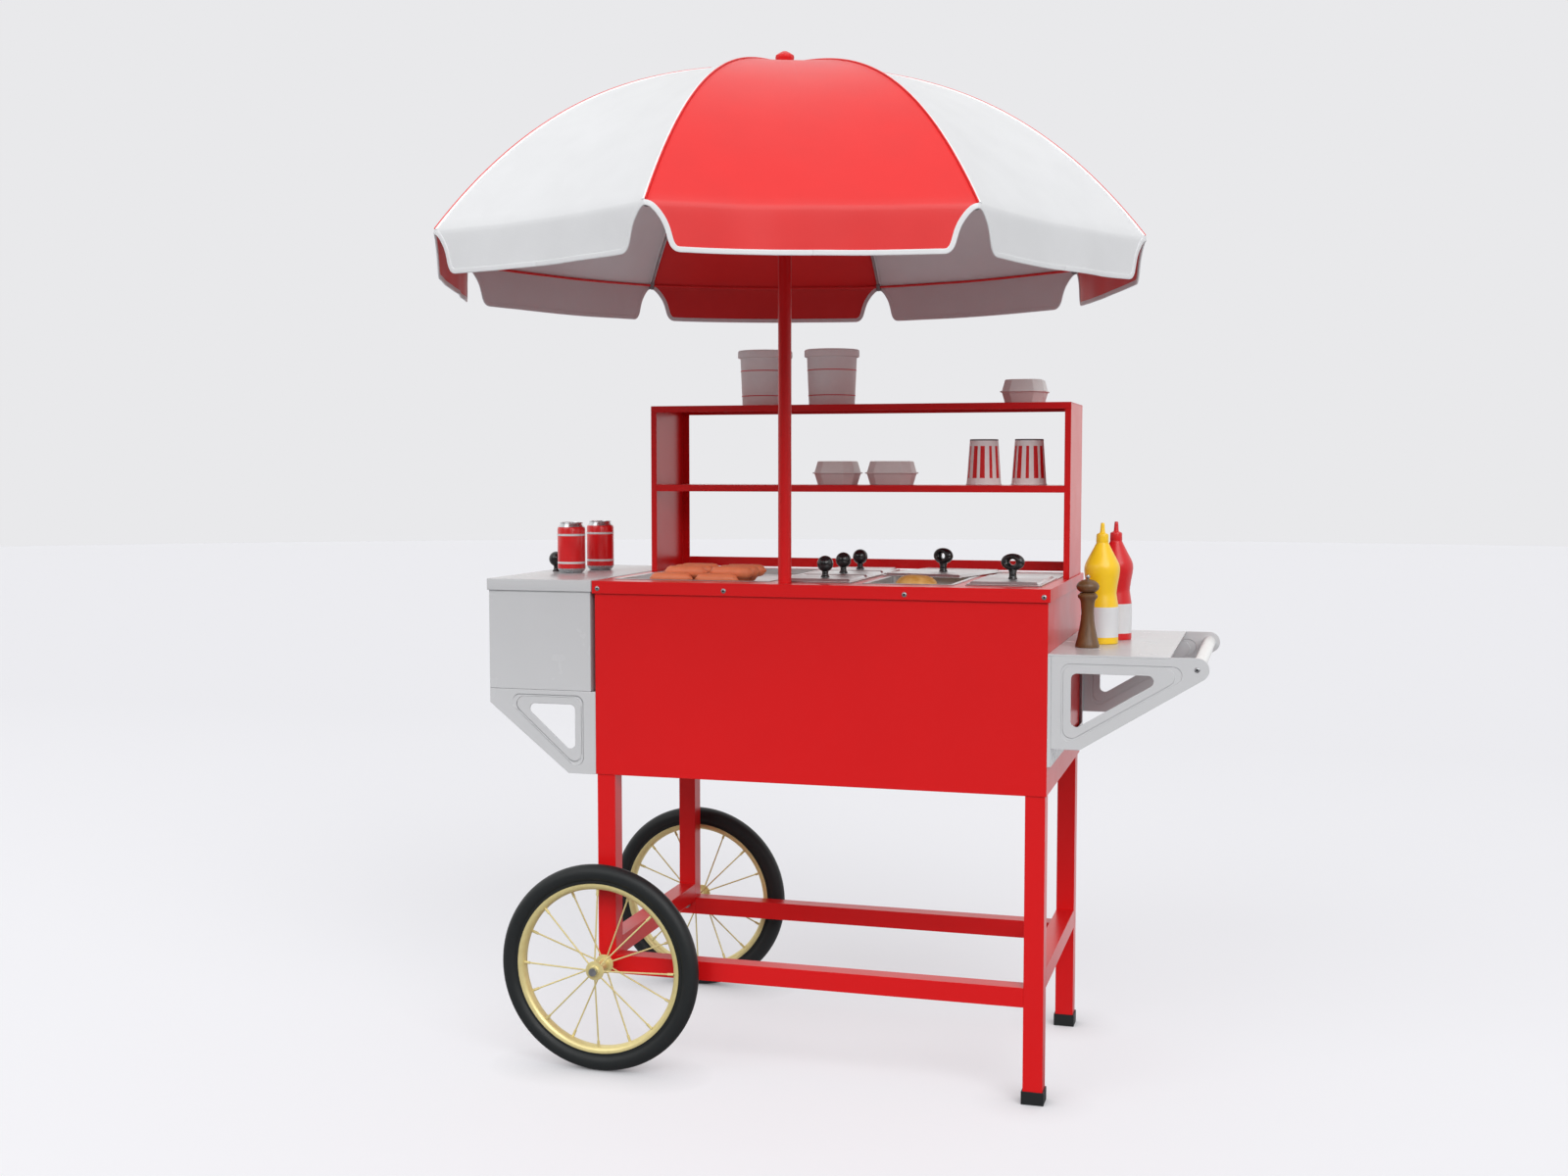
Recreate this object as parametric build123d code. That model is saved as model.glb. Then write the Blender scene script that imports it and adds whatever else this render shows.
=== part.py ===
from build123d import *
import os
from math import asin, atan, atan2, cos, hypot, pi, radians, sin, tan

# A hot dog push cart, in millimetres. +X runs from the wheels to the push handle, +Y to the
# operator's side, +Z up. The origin is on the floor under the middle of the cabinet, in the
# plane of the umbrella pole.

# Cabinet
CABINET_LENGTH = 1004.0
CABINET_DEPTH = 608.0
CABINET_BOTTOM = 657.0
PANEL = 2.5
POLE_SETBACK = 35.0
WORKTOP_HEIGHT = 1090.0
WORKTOP_SHEET = 3.0
LIP_DROP = 28.0
LIP_OVERHANG = 5.0
DOOR_THICKNESS = 16.0
DOOR_SKIN = 2.0
DOOR_GAP = 3.0
DOOR_BACK_GAP = 1.0
DOOR_BOSS = 26.0
DOOR_KNOB_RADIUS = 12.0
DOOR_KNOB_REACH = 26.0
DOOR_KNOB_DROP = 140.0
PIVOT_RADIUS = 3.0
PIVOT_DEPTH = 20.0
PIVOT_END = 1.0

# Fits
RUNNING = 0.06
CLEARANCE = 0.3
SCREW_CLEARANCE = 0.2
LEG_SLOT = 0.5

# How far a cutting shape runs past the face it cuts
OVERCUT = 1.0

# Step at which the search for a place on a curve stops
SEARCH_STEP = 1e-6

# Frame
TUBE = 42.0
TUBE_WALL = 2.0
RAIL_HEIGHT = 228.0
SIDE_RAIL_RISE = 34.0
FOOT_WIDTH = 48.0
FOOT_HEIGHT = 28.0
FOOT_SOCKET = 14.0

# Wheels
WHEEL_RADIUS = 232.0
TYRE_SECTION = 39.0
WHEEL_STANDOFF = 47.5
RIM_OUTER = 191.0
RIM_INNER = 176.0
RIM_WIDTH = 30.0
RIM_SHEET = 2.5
HUB_LENGTH = 70.0
HUB_RADIUS = 12.0
FLANGE_RADIUS = 21.5
FLANGE_THICKNESS = 4.0
FLANGE_SPREAD = 56.0
SPOKE_COUNT = 16
SPOKE_RADIUS = 1.8
SPOKE_DISH = 8.0
AXLE_RADIUS = 6.0
AXLE_COLLAR = 10.0
BOLT_HEAD = 9.0
BOLT_HEAD_HEIGHT = 7.0
NUT_HEIGHT = 10.0

# Worktop wells, from the wheel end: each width is over the flange
WELL_FRONT = 62.0
WELL_START = 24.0
WELL_GAP = 24.0
PAN_SHEET = 1.5
PAN_FLANGE = 9.0
PAN_SLACK = 1.0
PAN_CORNER = 12.0
SMALL_PAN_LENGTH = 165.0
SMALL_PAN_COUNT = 3
SMALL_PAN_SEAM = 1.0
SMALL_PAN_DEPTH = 90.0
SAUSAGE_PAN_WIDTH = 362.0
SAUSAGE_PAN_DEPTH = 14.0
SMALL_PAN_WIDTH = 162.0
BUN_PAN_WIDTH = 200.0
BUN_PAN_DEPTH = 46.0
END_PAN_WIDTH = 162.0
END_PAN_DEPTH = 90.0
LARGE_WELL_LENGTH = 264.0

# Lids
LID_SHEET = 2.0
LID_BORDER = 9.0
LID_RISE = 5.0
KNOB_STEM = 6.5
KNOB_STEM_HEIGHT = 13.0
KNOB_BALL = 18.0
KNOB_SEAT = 1.0
KNOB_FOOT = 9.0
KNOB_FOOT_HEIGHT = 3.0
RING_STEM = 8.0
RING_STEM_HEIGHT = 18.0
RING_WIDTH = 58.0
RING_HEIGHT = 38.0
RING_THICKNESS = 20.0
RING_HOLE_WIDTH = 22.0
RING_HOLE_HEIGHT = 14.0
RING_EDGE = 5.0
RING_TURN = -25.0
BUN_LID_BACK = 237.0
BUN_LID_ASIDE = 6.0
BUN_LID_TURN = -12.0

# Heat
BURNER_GAP = 10.0
BURNER_RADIUS = 15.0
BURNER_WALL = 2.5
BURNER_FLANGE = 30.0
BURNER_FLANGE_THICKNESS = 5.0
PORT_RADIUS = 2.5
PORT_COUNT = 15
PORT_PITCH = 60.0
BOTTLE_RADIUS = 101.0
BOTTLE_HEIGHT = 205.0
BOTTLE_SHOULDER = 40.0
BOTTLE_X = 310.0
BOTTLE_WALL = 3.0
BOTTLE_FOOT = 8.0
VALVE_RADIUS = 16.0
VALVE_HEIGHT = 38.0
OUTLET_RADIUS = 4.0

# Fasteners
SCREW_HEAD = 5.5
SCREW_HEAD_HEIGHT = 2.6
SCREW_SHANK = 2.0
SCREW_END_INSET = 8.0
SCREW_INNER = 200.0
LIP_SCREW_DROP = 16.8

# Rear shelf unit
SHELF_SETBACK = 20.0
SHELF_DEPTH = 225.0
SHELF_HEIGHT = 398.0
SHELF_SPACING = 188.0
SHELF_SHEET = 2.0
TOP_LIP = 15.0
MIDDLE_LIP = 16.0
FRONT_RETURN = 14.0
REAR_RETURN = 20.0
REAR_RAIL_GAP = 4.0
REAR_RAIL = 23.0

# Cold box
COLD_GAP = 11.0
COLD_STEP = 1.0
COLD_WIDTH = 246.0
COLD_DEPTH = 600.0
COLD_HEIGHT = 249.0
COLD_WALL = 22.0
COLD_LID_PLATE = 2.5
COLD_LID_LIP = 26.0
COLD_LID_WALL = 3.5
COLD_LID_GAP = 0.5
COLD_KNOB_INSET = 36.0
COLD_KNOB_BACK = 300.0
COLD_BRACKET_HEIGHT = 186.0
COLD_BRACKET_EDGE = 32.0
COLD_BRACKET_FOOT = 66.0

# Side shelf
SIDE_PLATE = 8.0
SIDE_PLATE_HEIGHT = 236.0
SIDE_PLATE_SOLID = 330.0
SIDE_PLATE_BAND = 32.0
SIDE_PLATE_EDGE = 12.0
CHEEK = 4.0
SIDE_DEPTH = 600.0
SIDE_DROP = 134.0
SIDE_SHEET = 4.0
SIDE_LENGTH = 247.0
HANDLE_REACH = 301.0
HANDLE_DROP = 24.0
HANDLE_RADIUS = 14.0
HANDLE_WALL = 2.0
EAR_RADIUS = 24.0
CHEEK_HEIGHT = 198.0
CHEEK_FOOT = 66.0
WINDOW_CORNER = 12.0
SIDE_WINDOW_INSET = 48.0
SIDE_WINDOW_TOP = 39.0
SIDE_WINDOW_LENGTH = 198.0
SIDE_WINDOW_DROP = 120.0
COLD_WINDOW_INSET = 50.0
COLD_WINDOW_TOP = 31.0
COLD_WINDOW_LENGTH = 128.0
COLD_WINDOW_DROP = 114.0
GROOVE_OFFSET = 16.0
GROOVE_CORNER = 18.0
GROOVE_WIDTH = 4.0
GROOVE_DEPTH = 1.2

# Umbrella
POLE_X = -73.0
POLE_RADIUS = 14.4
POLE_WALL = 2.0
SOCKET_RADIUS = 17.0
SOCKET_BASE = 4.0
UMBRELLA_RADIUS = 761.0
UMBRELLA_RISE = 392.0
CROWN_SLOPE = 0.125
CROWN_HEIGHT = 2195.0
RIB_COUNT = 8
UMBRELLA_TURN = 20.0
FABRIC = 2.0
CROWN_HOLE = 9.0
CROWN_STUD_HOLE = 8.0
CANOPY_RINGS = 13
FLAP_DROP = 88.0
NOTCH_TOP = 10.0
NOTCH_SHOULDER = 20.0
NOTCH_SHOULDER_DROP = 15.0
NOTCH_FOOT = 43.0
NOTCH_BELL = 18.0
FLAP_CORNER = 12.0
RIB_RADIUS = 3.5
RIB_PIVOT_RADIUS = 24.0
RIB_DROP = 14.0
RIB_END_GAP = 9.0
RIB_POINTS = 10
RIB_TAB = 6.0
RIB_TAB_LENGTH = 40.0
RIB_EYE = 6.0
HINGE_PIN = 2.0
STRETCHER = 400.0
STRETCHER_RADIUS = 3.0
FORK_EAR = 2.5
FORK_GAP = 0.6
FORK_REACH = 24.0
FORK_EYE = 5.0
HUB_TOP_GAP = 0.5
HUB_HEIGHT = 26.0
CROWN_RADIUS = 34.0
CROWN_CORE = 15.0
HUB_PIN_GRIP = 3.0
SLOT_SIDE = 0.5
RUNNER_ABOVE = 14.0
RUNNER_BELOW = 88.0
RUNNER_SLEEVE = 19.0
RUNNER_RADIUS = 33.0
RUNNER_FIT = 0.1
FINIAL_PROFILE = ((17.0, 0.0), (21.0, 14.0), (20.0, 20.0), (4.0, 29.5))
FINIAL_STUD = 5.0

# Goods
SAUSAGE_LENGTH = 104.0
SAUSAGE_RADIUS = 13.0
SAUSAGE_ROWS = 6
SAUSAGE_TOP_ROWS = 3
SAUSAGE_TOP_SHIFT = 30.0
SAUSAGE_COLUMNS = 2
SAUSAGE_PITCH = 27.5
SAUSAGE_END_GAP = 2.0
SAUSAGE_START = (76.0, 24.0)
BUN_PROFILE = ((40.0, 0.0), (48.5, 12.0), (50.0, 24.0), (47.0, 36.0), (37.5, 50.4), (20.0, 58.2),
               (8.0, 60.0))
BUN_BACK = 85.0
CAN_RADIUS = 33.0
CAN_HEIGHT = 120.0
CAN_NECK = 27.0
CAN_TAPER = 10.0
CAN_PLACES = ((-666.0, 223.0), (-646.0, 356.0))
TUB_LID_RADIUS = 66.0
TUB_LID_HEIGHT = 18.0
TUB_TOP_RADIUS = 60.0
TUB_BASE_RADIUS = 55.0
TUB_HEIGHT = 134.0
TUB_PLACES = (-250.0, -83.0)
BOX_RIM = 118.0
BOX_SEAM = 110.0
BOX_BASE = 96.0
BOX_NARROWER = 11.0
BOX_HEIGHT = 56.0
BOX_RIM_HEIGHT = 3.0
BOX_TURN = 90.0
TOP_BOX_PLACE = 381.0
MIDDLE_BOX_PLACES = (-68.0, 65.0)
CUP_MOUTH = 41.0
CUP_BASE = 33.0
CUP_HEIGHT = 107.0
CUP_WALL = 1.5
CUP_PLACES = (286.0, 392.0)
GOODS_BACK = 117.0
MILL_PLACE = (565.0, 128.0)
MILL_PROFILE = ((25.5, 0.0), (25.5, 6.0), (13.5, 72.0), (16.0, 102.0), (21.0, 107.0), (21.0, 113.0),
                (17.0, 116.0))
MILL_HEAD_RADIUS = 24.5
MILL_HEAD_HEIGHT = 31.0
MILL_HEAD_SEAT = 1.0
MILL_STEM = 2.0
MILL_NUT = 4.5
MUSTARD_PLACE = (585.0, 226.0)
KETCHUP_PLACE = (605.0, 330.0)
SQUEEZE_PROFILE = ((36.5, 0.0), (36.5, 80.0), (31.5, 108.0), (38.5, 158.0), (36.5, 174.0), (13.0, 220.0),
                   (13.0, 240.0), (6.0, 242.0), (4.0, 264.0))

# Places worked out from the sizes above
X0 = -CABINET_LENGTH / 2
X1 = CABINET_LENGTH / 2
Y0 = -POLE_SETBACK
Y1 = Y0 + CABINET_DEPTH
INNER_X0 = X0 + PANEL
INNER_X1 = X1 - PANEL
INNER_Y0 = Y0 + PANEL
FLOOR_TOP = CABINET_BOTTOM + PANEL
WORKTOP_UNDER = WORKTOP_HEIGHT - WORKTOP_SHEET
LEG_TOP = WORKTOP_HEIGHT - SAUSAGE_PAN_DEPTH - LEG_SLOT
DOOR_Y0 = Y1 - DOOR_THICKNESS
LEG_REAR = DOOR_Y0 - DOOR_BACK_GAP
LEG_X = (INNER_X0, INNER_X1 - TUBE)
LEG_Y = (INNER_Y0, LEG_REAR - TUBE)
AXLE_X = INNER_X0 + TUBE / 2
RAIL_LOW = RAIL_HEIGHT - TUBE / 2
RAIL_TOP = RAIL_HEIGHT + TUBE / 2
WELL_Y0 = Y0 + WELL_FRONT
WELL_LENGTH = SMALL_PAN_COUNT * (SMALL_PAN_LENGTH + SMALL_PAN_SEAM) - SMALL_PAN_SEAM
WELL_Y1 = WELL_Y0 + WELL_LENGTH
SAUSAGE_X = X0 + WELL_START
SMALL_X = SAUSAGE_X + SAUSAGE_PAN_WIDTH + WELL_GAP
BUN_X = SMALL_X + SMALL_PAN_WIDTH + WELL_GAP
END_X = BUN_X + BUN_PAN_WIDTH + WELL_GAP
FLANGE_TOP = WORKTOP_HEIGHT + PAN_SHEET
LID_Z = FLANGE_TOP + CLEARANCE
SHELF_Y1 = Y1 - SHELF_SETBACK
SHELF_Y0 = SHELF_Y1 - SHELF_DEPTH
SHELF_TOP = WORKTOP_HEIGHT + SHELF_HEIGHT
SHELF_MIDDLE = SHELF_TOP - SHELF_SPACING
BURNER_HEIGHT = WORKTOP_HEIGHT - max(SMALL_PAN_DEPTH, END_PAN_DEPTH) - BURNER_GAP - BURNER_RADIUS
COLD_X1 = X0 - COLD_GAP
COLD_X0 = COLD_X1 - COLD_WIDTH
COLD_Y0 = Y0
COLD_Y1 = COLD_Y0 + COLD_DEPTH
COLD_TOP = WORKTOP_HEIGHT + COLD_STEP
COLD_RIM = COLD_TOP - COLD_LID_PLATE
COLD_BOTTOM = COLD_TOP - COLD_HEIGHT
COLD_BRACKET_BOTTOM = COLD_BOTTOM - COLD_BRACKET_HEIGHT
SIDE_Y1 = Y0 + SIDE_DEPTH
SIDE_TOP = WORKTOP_HEIGHT - SIDE_DROP
SIDE_PLATE_BOTTOM = SIDE_TOP - SIDE_PLATE_HEIGHT
CHEEK_BOTTOM = SIDE_TOP - CHEEK_HEIGHT
HANDLE_X = X1 + HANDLE_REACH
HANDLE_Z = SIDE_TOP - HANDLE_DROP


def canopy_height(r):
    """Height of the canopy's outside above a rib: straight at the crown, then bending over."""
    bend = UMBRELLA_RISE - CROWN_SLOPE * UMBRELLA_RADIUS
    return CROWN_HEIGHT - CROWN_SLOPE * r - bend * (r / UMBRELLA_RADIUS) ** 3


def canopy_slope(r):
    """Steepness of the canopy above a rib, as an angle."""
    bend = UMBRELLA_RISE - CROWN_SLOPE * UMBRELLA_RADIUS
    return atan(CROWN_SLOPE + 3 * bend * r ** 2 / UMBRELLA_RADIUS ** 3)


def rib_height(r):
    """Height of a rib's centre line."""
    return canopy_height(r) - RIB_DROP


def rib_radius_at(reach):
    """Distance from the pole at which a rib is a straight reach away from its pivot."""
    low = RIB_PIVOT_RADIUS
    high = UMBRELLA_RADIUS
    while high - low > SEARCH_STEP:
        middle = (low + high) / 2
        if hypot(middle - RIB_PIVOT_RADIUS, rib_height(RIB_PIVOT_RADIUS) - rib_height(middle)) < reach:
            low = middle
        else:
            high = middle
    return low


# Umbrella linkage, in the plane of one rib: distance from the pole's axis, and height
RIM_HEIGHT = canopy_height(UMBRELLA_RADIUS)
PIVOT_Z = rib_height(RIB_PIVOT_RADIUS)
TIP_R = UMBRELLA_RADIUS - RIB_END_GAP
JOINT_R = rib_radius_at(STRETCHER)
JOINT_Z = rib_height(JOINT_R)
RUNNER_Z = 2 * JOINT_Z - PIVOT_Z
RIB_STEP = 360.0 / RIB_COUNT
FIRST_RIB = UMBRELLA_TURN + RIB_STEP / 2 - 90.0
HUB_TOP = canopy_height(CROWN_RADIUS / cos(radians(RIB_STEP / 2))) - FABRIC - HUB_TOP_GAP
HUB_LOW = HUB_TOP - HUB_HEIGHT


def block(x0, x1, y0, y1, z0, z1):
    """A box between two corners."""
    return Pos((x0 + x1) / 2, (y0 + y1) / 2, (z0 + z1) / 2) * Box(x1 - x0, y1 - y0, z1 - z0)


def upright(x, y, z0, z1, radius):
    """A round bar standing along Z."""
    return Pos(x, y, (z0 + z1) / 2) * Cylinder(radius, z1 - z0)


def along_y(x, z, y0, y1, radius):
    """A round bar lying along Y."""
    return Pos(x, (y0 + y1) / 2, z) * Rot(90, 0, 0) * Cylinder(radius, y1 - y0)


def bar(start, end, radius):
    """A round bar between two points."""
    start = Vector(*start)
    run = Vector(*end) - start
    return Plane(origin=start, z_dir=run) * Pos(0, 0, run.length / 2) * Cylinder(radius, run.length)


def plate_xz(face, y0, y1):
    """A face drawn in X and Z, made solid from y0 to y1."""
    return extrude(Plane.XZ.offset(-y1) * face, y1 - y0, dir=(0, -1, 0))


def turned(points):
    """A solid of revolution about Z from (radius, height) points, closed on the axis."""
    outline = [(0, points[0][1]), *points, (0, points[-1][1])]
    return revolve(Plane.XZ * make_face(Polyline(*outline, close=True)), Axis.Z)


def save(name, *solids):
    """Writes one sub-part as a STEP file."""
    flat = [solid for shape in solids for solid in shape.solids()]
    shape = flat[0] if len(flat) == 1 else Compound(children=flat)
    export_step(shape, f"parts/{name}.step")


def square_tube(x0, x1, y0, y1, z0, z1, axis):
    """A hollow square tube that fills the given box, open at its ends along one axis."""
    wall = {a: 0.0 if a == axis else TUBE_WALL for a in "xyz"}
    hollow = block(x0 + wall["x"], x1 - wall["x"], y0 + wall["y"], y1 - wall["y"],
                   z0 + wall["z"], z1 - wall["z"])
    return block(x0, x1, y0, y1, z0, z1) - hollow


def frame():
    legs = []
    for side, x in enumerate(LEG_X):
        low = RAIL_LOW if side == 0 else FOOT_HEIGHT - FOOT_SOCKET
        for y in LEG_Y:
            leg = square_tube(x, x + TUBE, y, y + TUBE, low, LEG_TOP, "z")
            if side == 0:
                bore = AXLE_RADIUS + SCREW_CLEARANCE
                leg -= along_y(AXLE_X, WHEEL_RADIUS, y - OVERCUT, y + TUBE + OVERCUT, bore)
            legs.append(leg)
    save("legs", *legs)
    rails = [square_tube(LEG_X[0] + TUBE, LEG_X[1], y, y + TUBE, RAIL_LOW, RAIL_TOP, "x") for y in LEG_Y]
    rails += [square_tube(x, x + TUBE, LEG_Y[0] + TUBE, LEG_Y[1], RAIL_LOW + SIDE_RAIL_RISE,
                          RAIL_TOP + SIDE_RAIL_RISE, "y") for x in LEG_X]
    save("rails", *rails)
    feet = []
    margin = (FOOT_WIDTH - TUBE) / 2
    for y in LEG_Y:
        x = LEG_X[1]
        foot = block(x - margin, x + TUBE + margin, y - margin, y + TUBE + margin, 0, FOOT_HEIGHT)
        foot -= block(x, x + TUBE, y, y + TUBE, FOOT_HEIGHT - FOOT_SOCKET, FOOT_HEIGHT)
        feet.append(foot)
    save("rubber_feet", *feet)


def pivot_places():
    """The two door pivots: each (x, side), where side is +1 at the wheel end."""
    inset = DOOR_GAP + DOOR_THICKNESS / 2
    return ((INNER_X0 + inset, 1), (INNER_X1 - inset, -1))


def screw_places():
    """X of each screw in the worktop's front lip."""
    outer = CABINET_LENGTH / 2 - SCREW_END_INSET
    return (-outer, -SCREW_INNER, SCREW_INNER, outer)


def screw_hole(x, z, y0, y1, shank=SCREW_SHANK):
    return along_y(x, z, y0, y1, shank + SCREW_CLEARANCE)


def lip_screw_height():
    return WORKTOP_HEIGHT - LIP_SCREW_DROP


def cabinet():
    pivot_y = DOOR_Y0 + DOOR_THICKNESS / 2
    front = block(X0, X1, Y0, INNER_Y0, CABINET_BOTTOM, WORKTOP_UNDER)
    for x in screw_places():
        front -= screw_hole(x, lip_screw_height(), Y0 - OVERCUT, INNER_Y0 + OVERCUT)
    save("front_panel", front)
    ends = [block(x, x + PANEL, INNER_Y0, Y1, CABINET_BOTTOM, WORKTOP_UNDER) for x in (X0, INNER_X1)]
    save("end_panels", *ends)
    floor = block(INNER_X0, INNER_X1, INNER_Y0, Y1, CABINET_BOTTOM, FLOOR_TOP)
    for x in LEG_X:
        for y in LEG_Y:
            floor -= block(x - LEG_SLOT, x + TUBE + LEG_SLOT, y - LEG_SLOT, y + TUBE + LEG_SLOT,
                           CABINET_BOTTOM - OVERCUT, FLOOR_TOP + OVERCUT)
    for x, side in pivot_places():
        floor -= upright(x, pivot_y, CABINET_BOTTOM - OVERCUT, FLOOR_TOP + OVERCUT, PIVOT_RADIUS + RUNNING)
    save("cabinet_floor", floor)
    for (x, side), name in zip(pivot_places(), ("rear_door_left", "rear_door_right")):
        save(name, door(x, pivot_y, side))


def door(pivot_x, pivot_y, side):
    """A folded door with a round pivot edge, its two pivot pins and its knob."""
    low = FLOOR_TOP + DOOR_GAP
    high = WORKTOP_UNDER - DOOR_GAP
    width = abs(pivot_x) + DOOR_THICKNESS / 2 - DOOR_GAP / 2
    half = DOOR_THICKNESS / 2
    leaf = block(-half, width - half, -half, half, low, high)
    leaf = fillet(leaf.edges().filter_by(Axis.Z).group_by(Axis.X)[0], half - CLEARANCE)
    pocket = block(half, width - half - DOOR_SKIN, -half - OVERCUT, half - DOOR_SKIN,
                   low + DOOR_SKIN, high - DOOR_SKIN)
    for z0, z1 in ((low, low + DOOR_BOSS), (high - DOOR_BOSS, high)):
        pocket -= block(-half, DOOR_BOSS, -half - 2 * OVERCUT, half, z0, z1)
    leaf -= pocket
    leaf += upright(0, 0, CABINET_BOTTOM + PIVOT_END, low + PIVOT_DEPTH, PIVOT_RADIUS)
    leaf += upright(0, 0, high - PIVOT_DEPTH, WORKTOP_HEIGHT - PIVOT_END, PIVOT_RADIUS)
    knob_x = width - half - 3 * DOOR_KNOB_RADIUS
    knob_z = WORKTOP_HEIGHT - DOOR_KNOB_DROP
    stem_end = half + DOOR_KNOB_REACH / 2
    leaf += along_y(knob_x, knob_z, half - DOOR_SKIN, stem_end, DOOR_KNOB_RADIUS / 2)
    leaf += along_y(knob_x, knob_z, stem_end, half + DOOR_KNOB_REACH, DOOR_KNOB_RADIUS)
    if side < 0:
        leaf = mirror(leaf, Plane.YZ)
    return Pos(pivot_x, pivot_y, 0) * leaf


def well_cut(x0, x1, y0, y1):
    """The hole in the worktop for a pan whose flange covers this rectangle."""
    inset = PAN_FLANGE - PAN_SLACK
    hole = block(x0 + inset, x1 - inset, y0 + inset, y1 - inset,
                 WORKTOP_UNDER - OVERCUT, WORKTOP_HEIGHT + OVERCUT)
    return fillet(hole.edges().filter_by(Axis.Z), PAN_CORNER + PAN_SLACK)


def small_pan_rows():
    pitch = SMALL_PAN_LENGTH + SMALL_PAN_SEAM
    return [(WELL_Y0 + i * pitch, WELL_Y0 + i * pitch + SMALL_PAN_LENGTH) for i in range(SMALL_PAN_COUNT)]


def worktop():
    x0 = X0 - LIP_OVERHANG
    x1 = X1 + LIP_OVERHANG
    y0 = Y0 - LIP_OVERHANG
    low = WORKTOP_HEIGHT - LIP_DROP
    top = block(x0, x1, y0, Y1, WORKTOP_UNDER, WORKTOP_HEIGHT)
    top += block(x0, x1, y0, y0 + WORKTOP_SHEET, low, WORKTOP_UNDER)
    for edge in (x0, x1 - WORKTOP_SHEET):
        top += block(edge, edge + WORKTOP_SHEET, y0, Y1, low, WORKTOP_UNDER)
    top -= well_cut(SAUSAGE_X, SAUSAGE_X + SAUSAGE_PAN_WIDTH, WELL_Y0, WELL_Y1)
    for row0, row1 in small_pan_rows():
        top -= well_cut(SMALL_X, SMALL_X + SMALL_PAN_WIDTH, row0, row1)
    for x, width in ((BUN_X, BUN_PAN_WIDTH), (END_X, END_PAN_WIDTH)):
        top -= well_cut(x, x + width, WELL_Y0, WELL_Y0 + LARGE_WELL_LENGTH)
    top -= upright(POLE_X, 0, WORKTOP_UNDER - OVERCUT, WORKTOP_HEIGHT + OVERCUT, POLE_RADIUS + CLEARANCE)
    for x, side in pivot_places():
        top -= upright(x, DOOR_Y0 + DOOR_THICKNESS / 2, WORKTOP_UNDER - OVERCUT, WORKTOP_HEIGHT + OVERCUT,
                       PIVOT_RADIUS + RUNNING)
    for x in screw_places():
        top -= screw_hole(x, lip_screw_height(), y0 - OVERCUT, y0 + WORKTOP_SHEET + OVERCUT)
    save("worktop", top)


def pan(x0, x1, y0, y1, depth, flange_y1=None):
    """A pressed pan hung by its flange. flange_y1 draws the flange out to the rear as a drainer."""
    rear = y1 if flange_y1 is None else flange_y1
    inset = PAN_FLANGE
    flange = block(x0, x1, y0, rear, WORKTOP_HEIGHT, FLANGE_TOP)
    tub = block(x0 + inset, x1 - inset, y0 + inset, y1 - inset, WORKTOP_HEIGHT - depth, WORKTOP_HEIGHT)
    tub = fillet(tub.edges().filter_by(Axis.Z), PAN_CORNER)
    inset += PAN_SHEET
    hollow = block(x0 + inset, x1 - inset, y0 + inset, y1 - inset,
                   WORKTOP_HEIGHT - depth + PAN_SHEET, FLANGE_TOP + OVERCUT)
    hollow = fillet(hollow.edges().filter_by(Axis.Z), PAN_CORNER - PAN_SHEET)
    return flange + tub - hollow


def pans():
    save("sausage_pan", pan(SAUSAGE_X, SAUSAGE_X + SAUSAGE_PAN_WIDTH, WELL_Y0, WELL_Y1, SAUSAGE_PAN_DEPTH))
    small = [pan(SMALL_X, SMALL_X + SMALL_PAN_WIDTH, a, b, SMALL_PAN_DEPTH) for a, b in small_pan_rows()]
    save("small_pans", *small)
    well_y1 = WELL_Y0 + LARGE_WELL_LENGTH
    bun_pan = pan(BUN_X, BUN_X + BUN_PAN_WIDTH, WELL_Y0, well_y1, BUN_PAN_DEPTH, WELL_Y1)
    end_pan = pan(END_X, END_X + END_PAN_WIDTH, WELL_Y0, well_y1, END_PAN_DEPTH, WELL_Y1)
    save("large_pans", bun_pan, end_pan)


def lid_plate(width, length):
    """A pressed lid, centred on Z, its underside at the lid height: a flat border and a raised middle."""
    plate = block(-width / 2, width / 2, -length / 2, length / 2, LID_Z, LID_Z + LID_SHEET)
    inner_x = width / 2 - LID_BORDER
    inner_y = length / 2 - LID_BORDER
    plate += block(-inner_x, inner_x, -inner_y, inner_y, LID_Z + LID_SHEET, LID_Z + LID_SHEET + LID_RISE)
    inner_x -= LID_SHEET
    inner_y -= LID_SHEET
    return plate - block(-inner_x, inner_x, -inner_y, inner_y, LID_Z - OVERCUT, LID_Z + LID_RISE)


def ball_knob(z):
    """A knob with a foot, a stem and a ball, standing at height z on the Z axis."""
    knob = upright(0, 0, z, z + KNOB_FOOT_HEIGHT, KNOB_FOOT)
    knob += upright(0, 0, z, z + KNOB_STEM_HEIGHT + KNOB_BALL, KNOB_STEM)
    return knob + Pos(0, 0, z + KNOB_STEM_HEIGHT + KNOB_BALL - KNOB_SEAT) * Sphere(KNOB_BALL)


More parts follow.
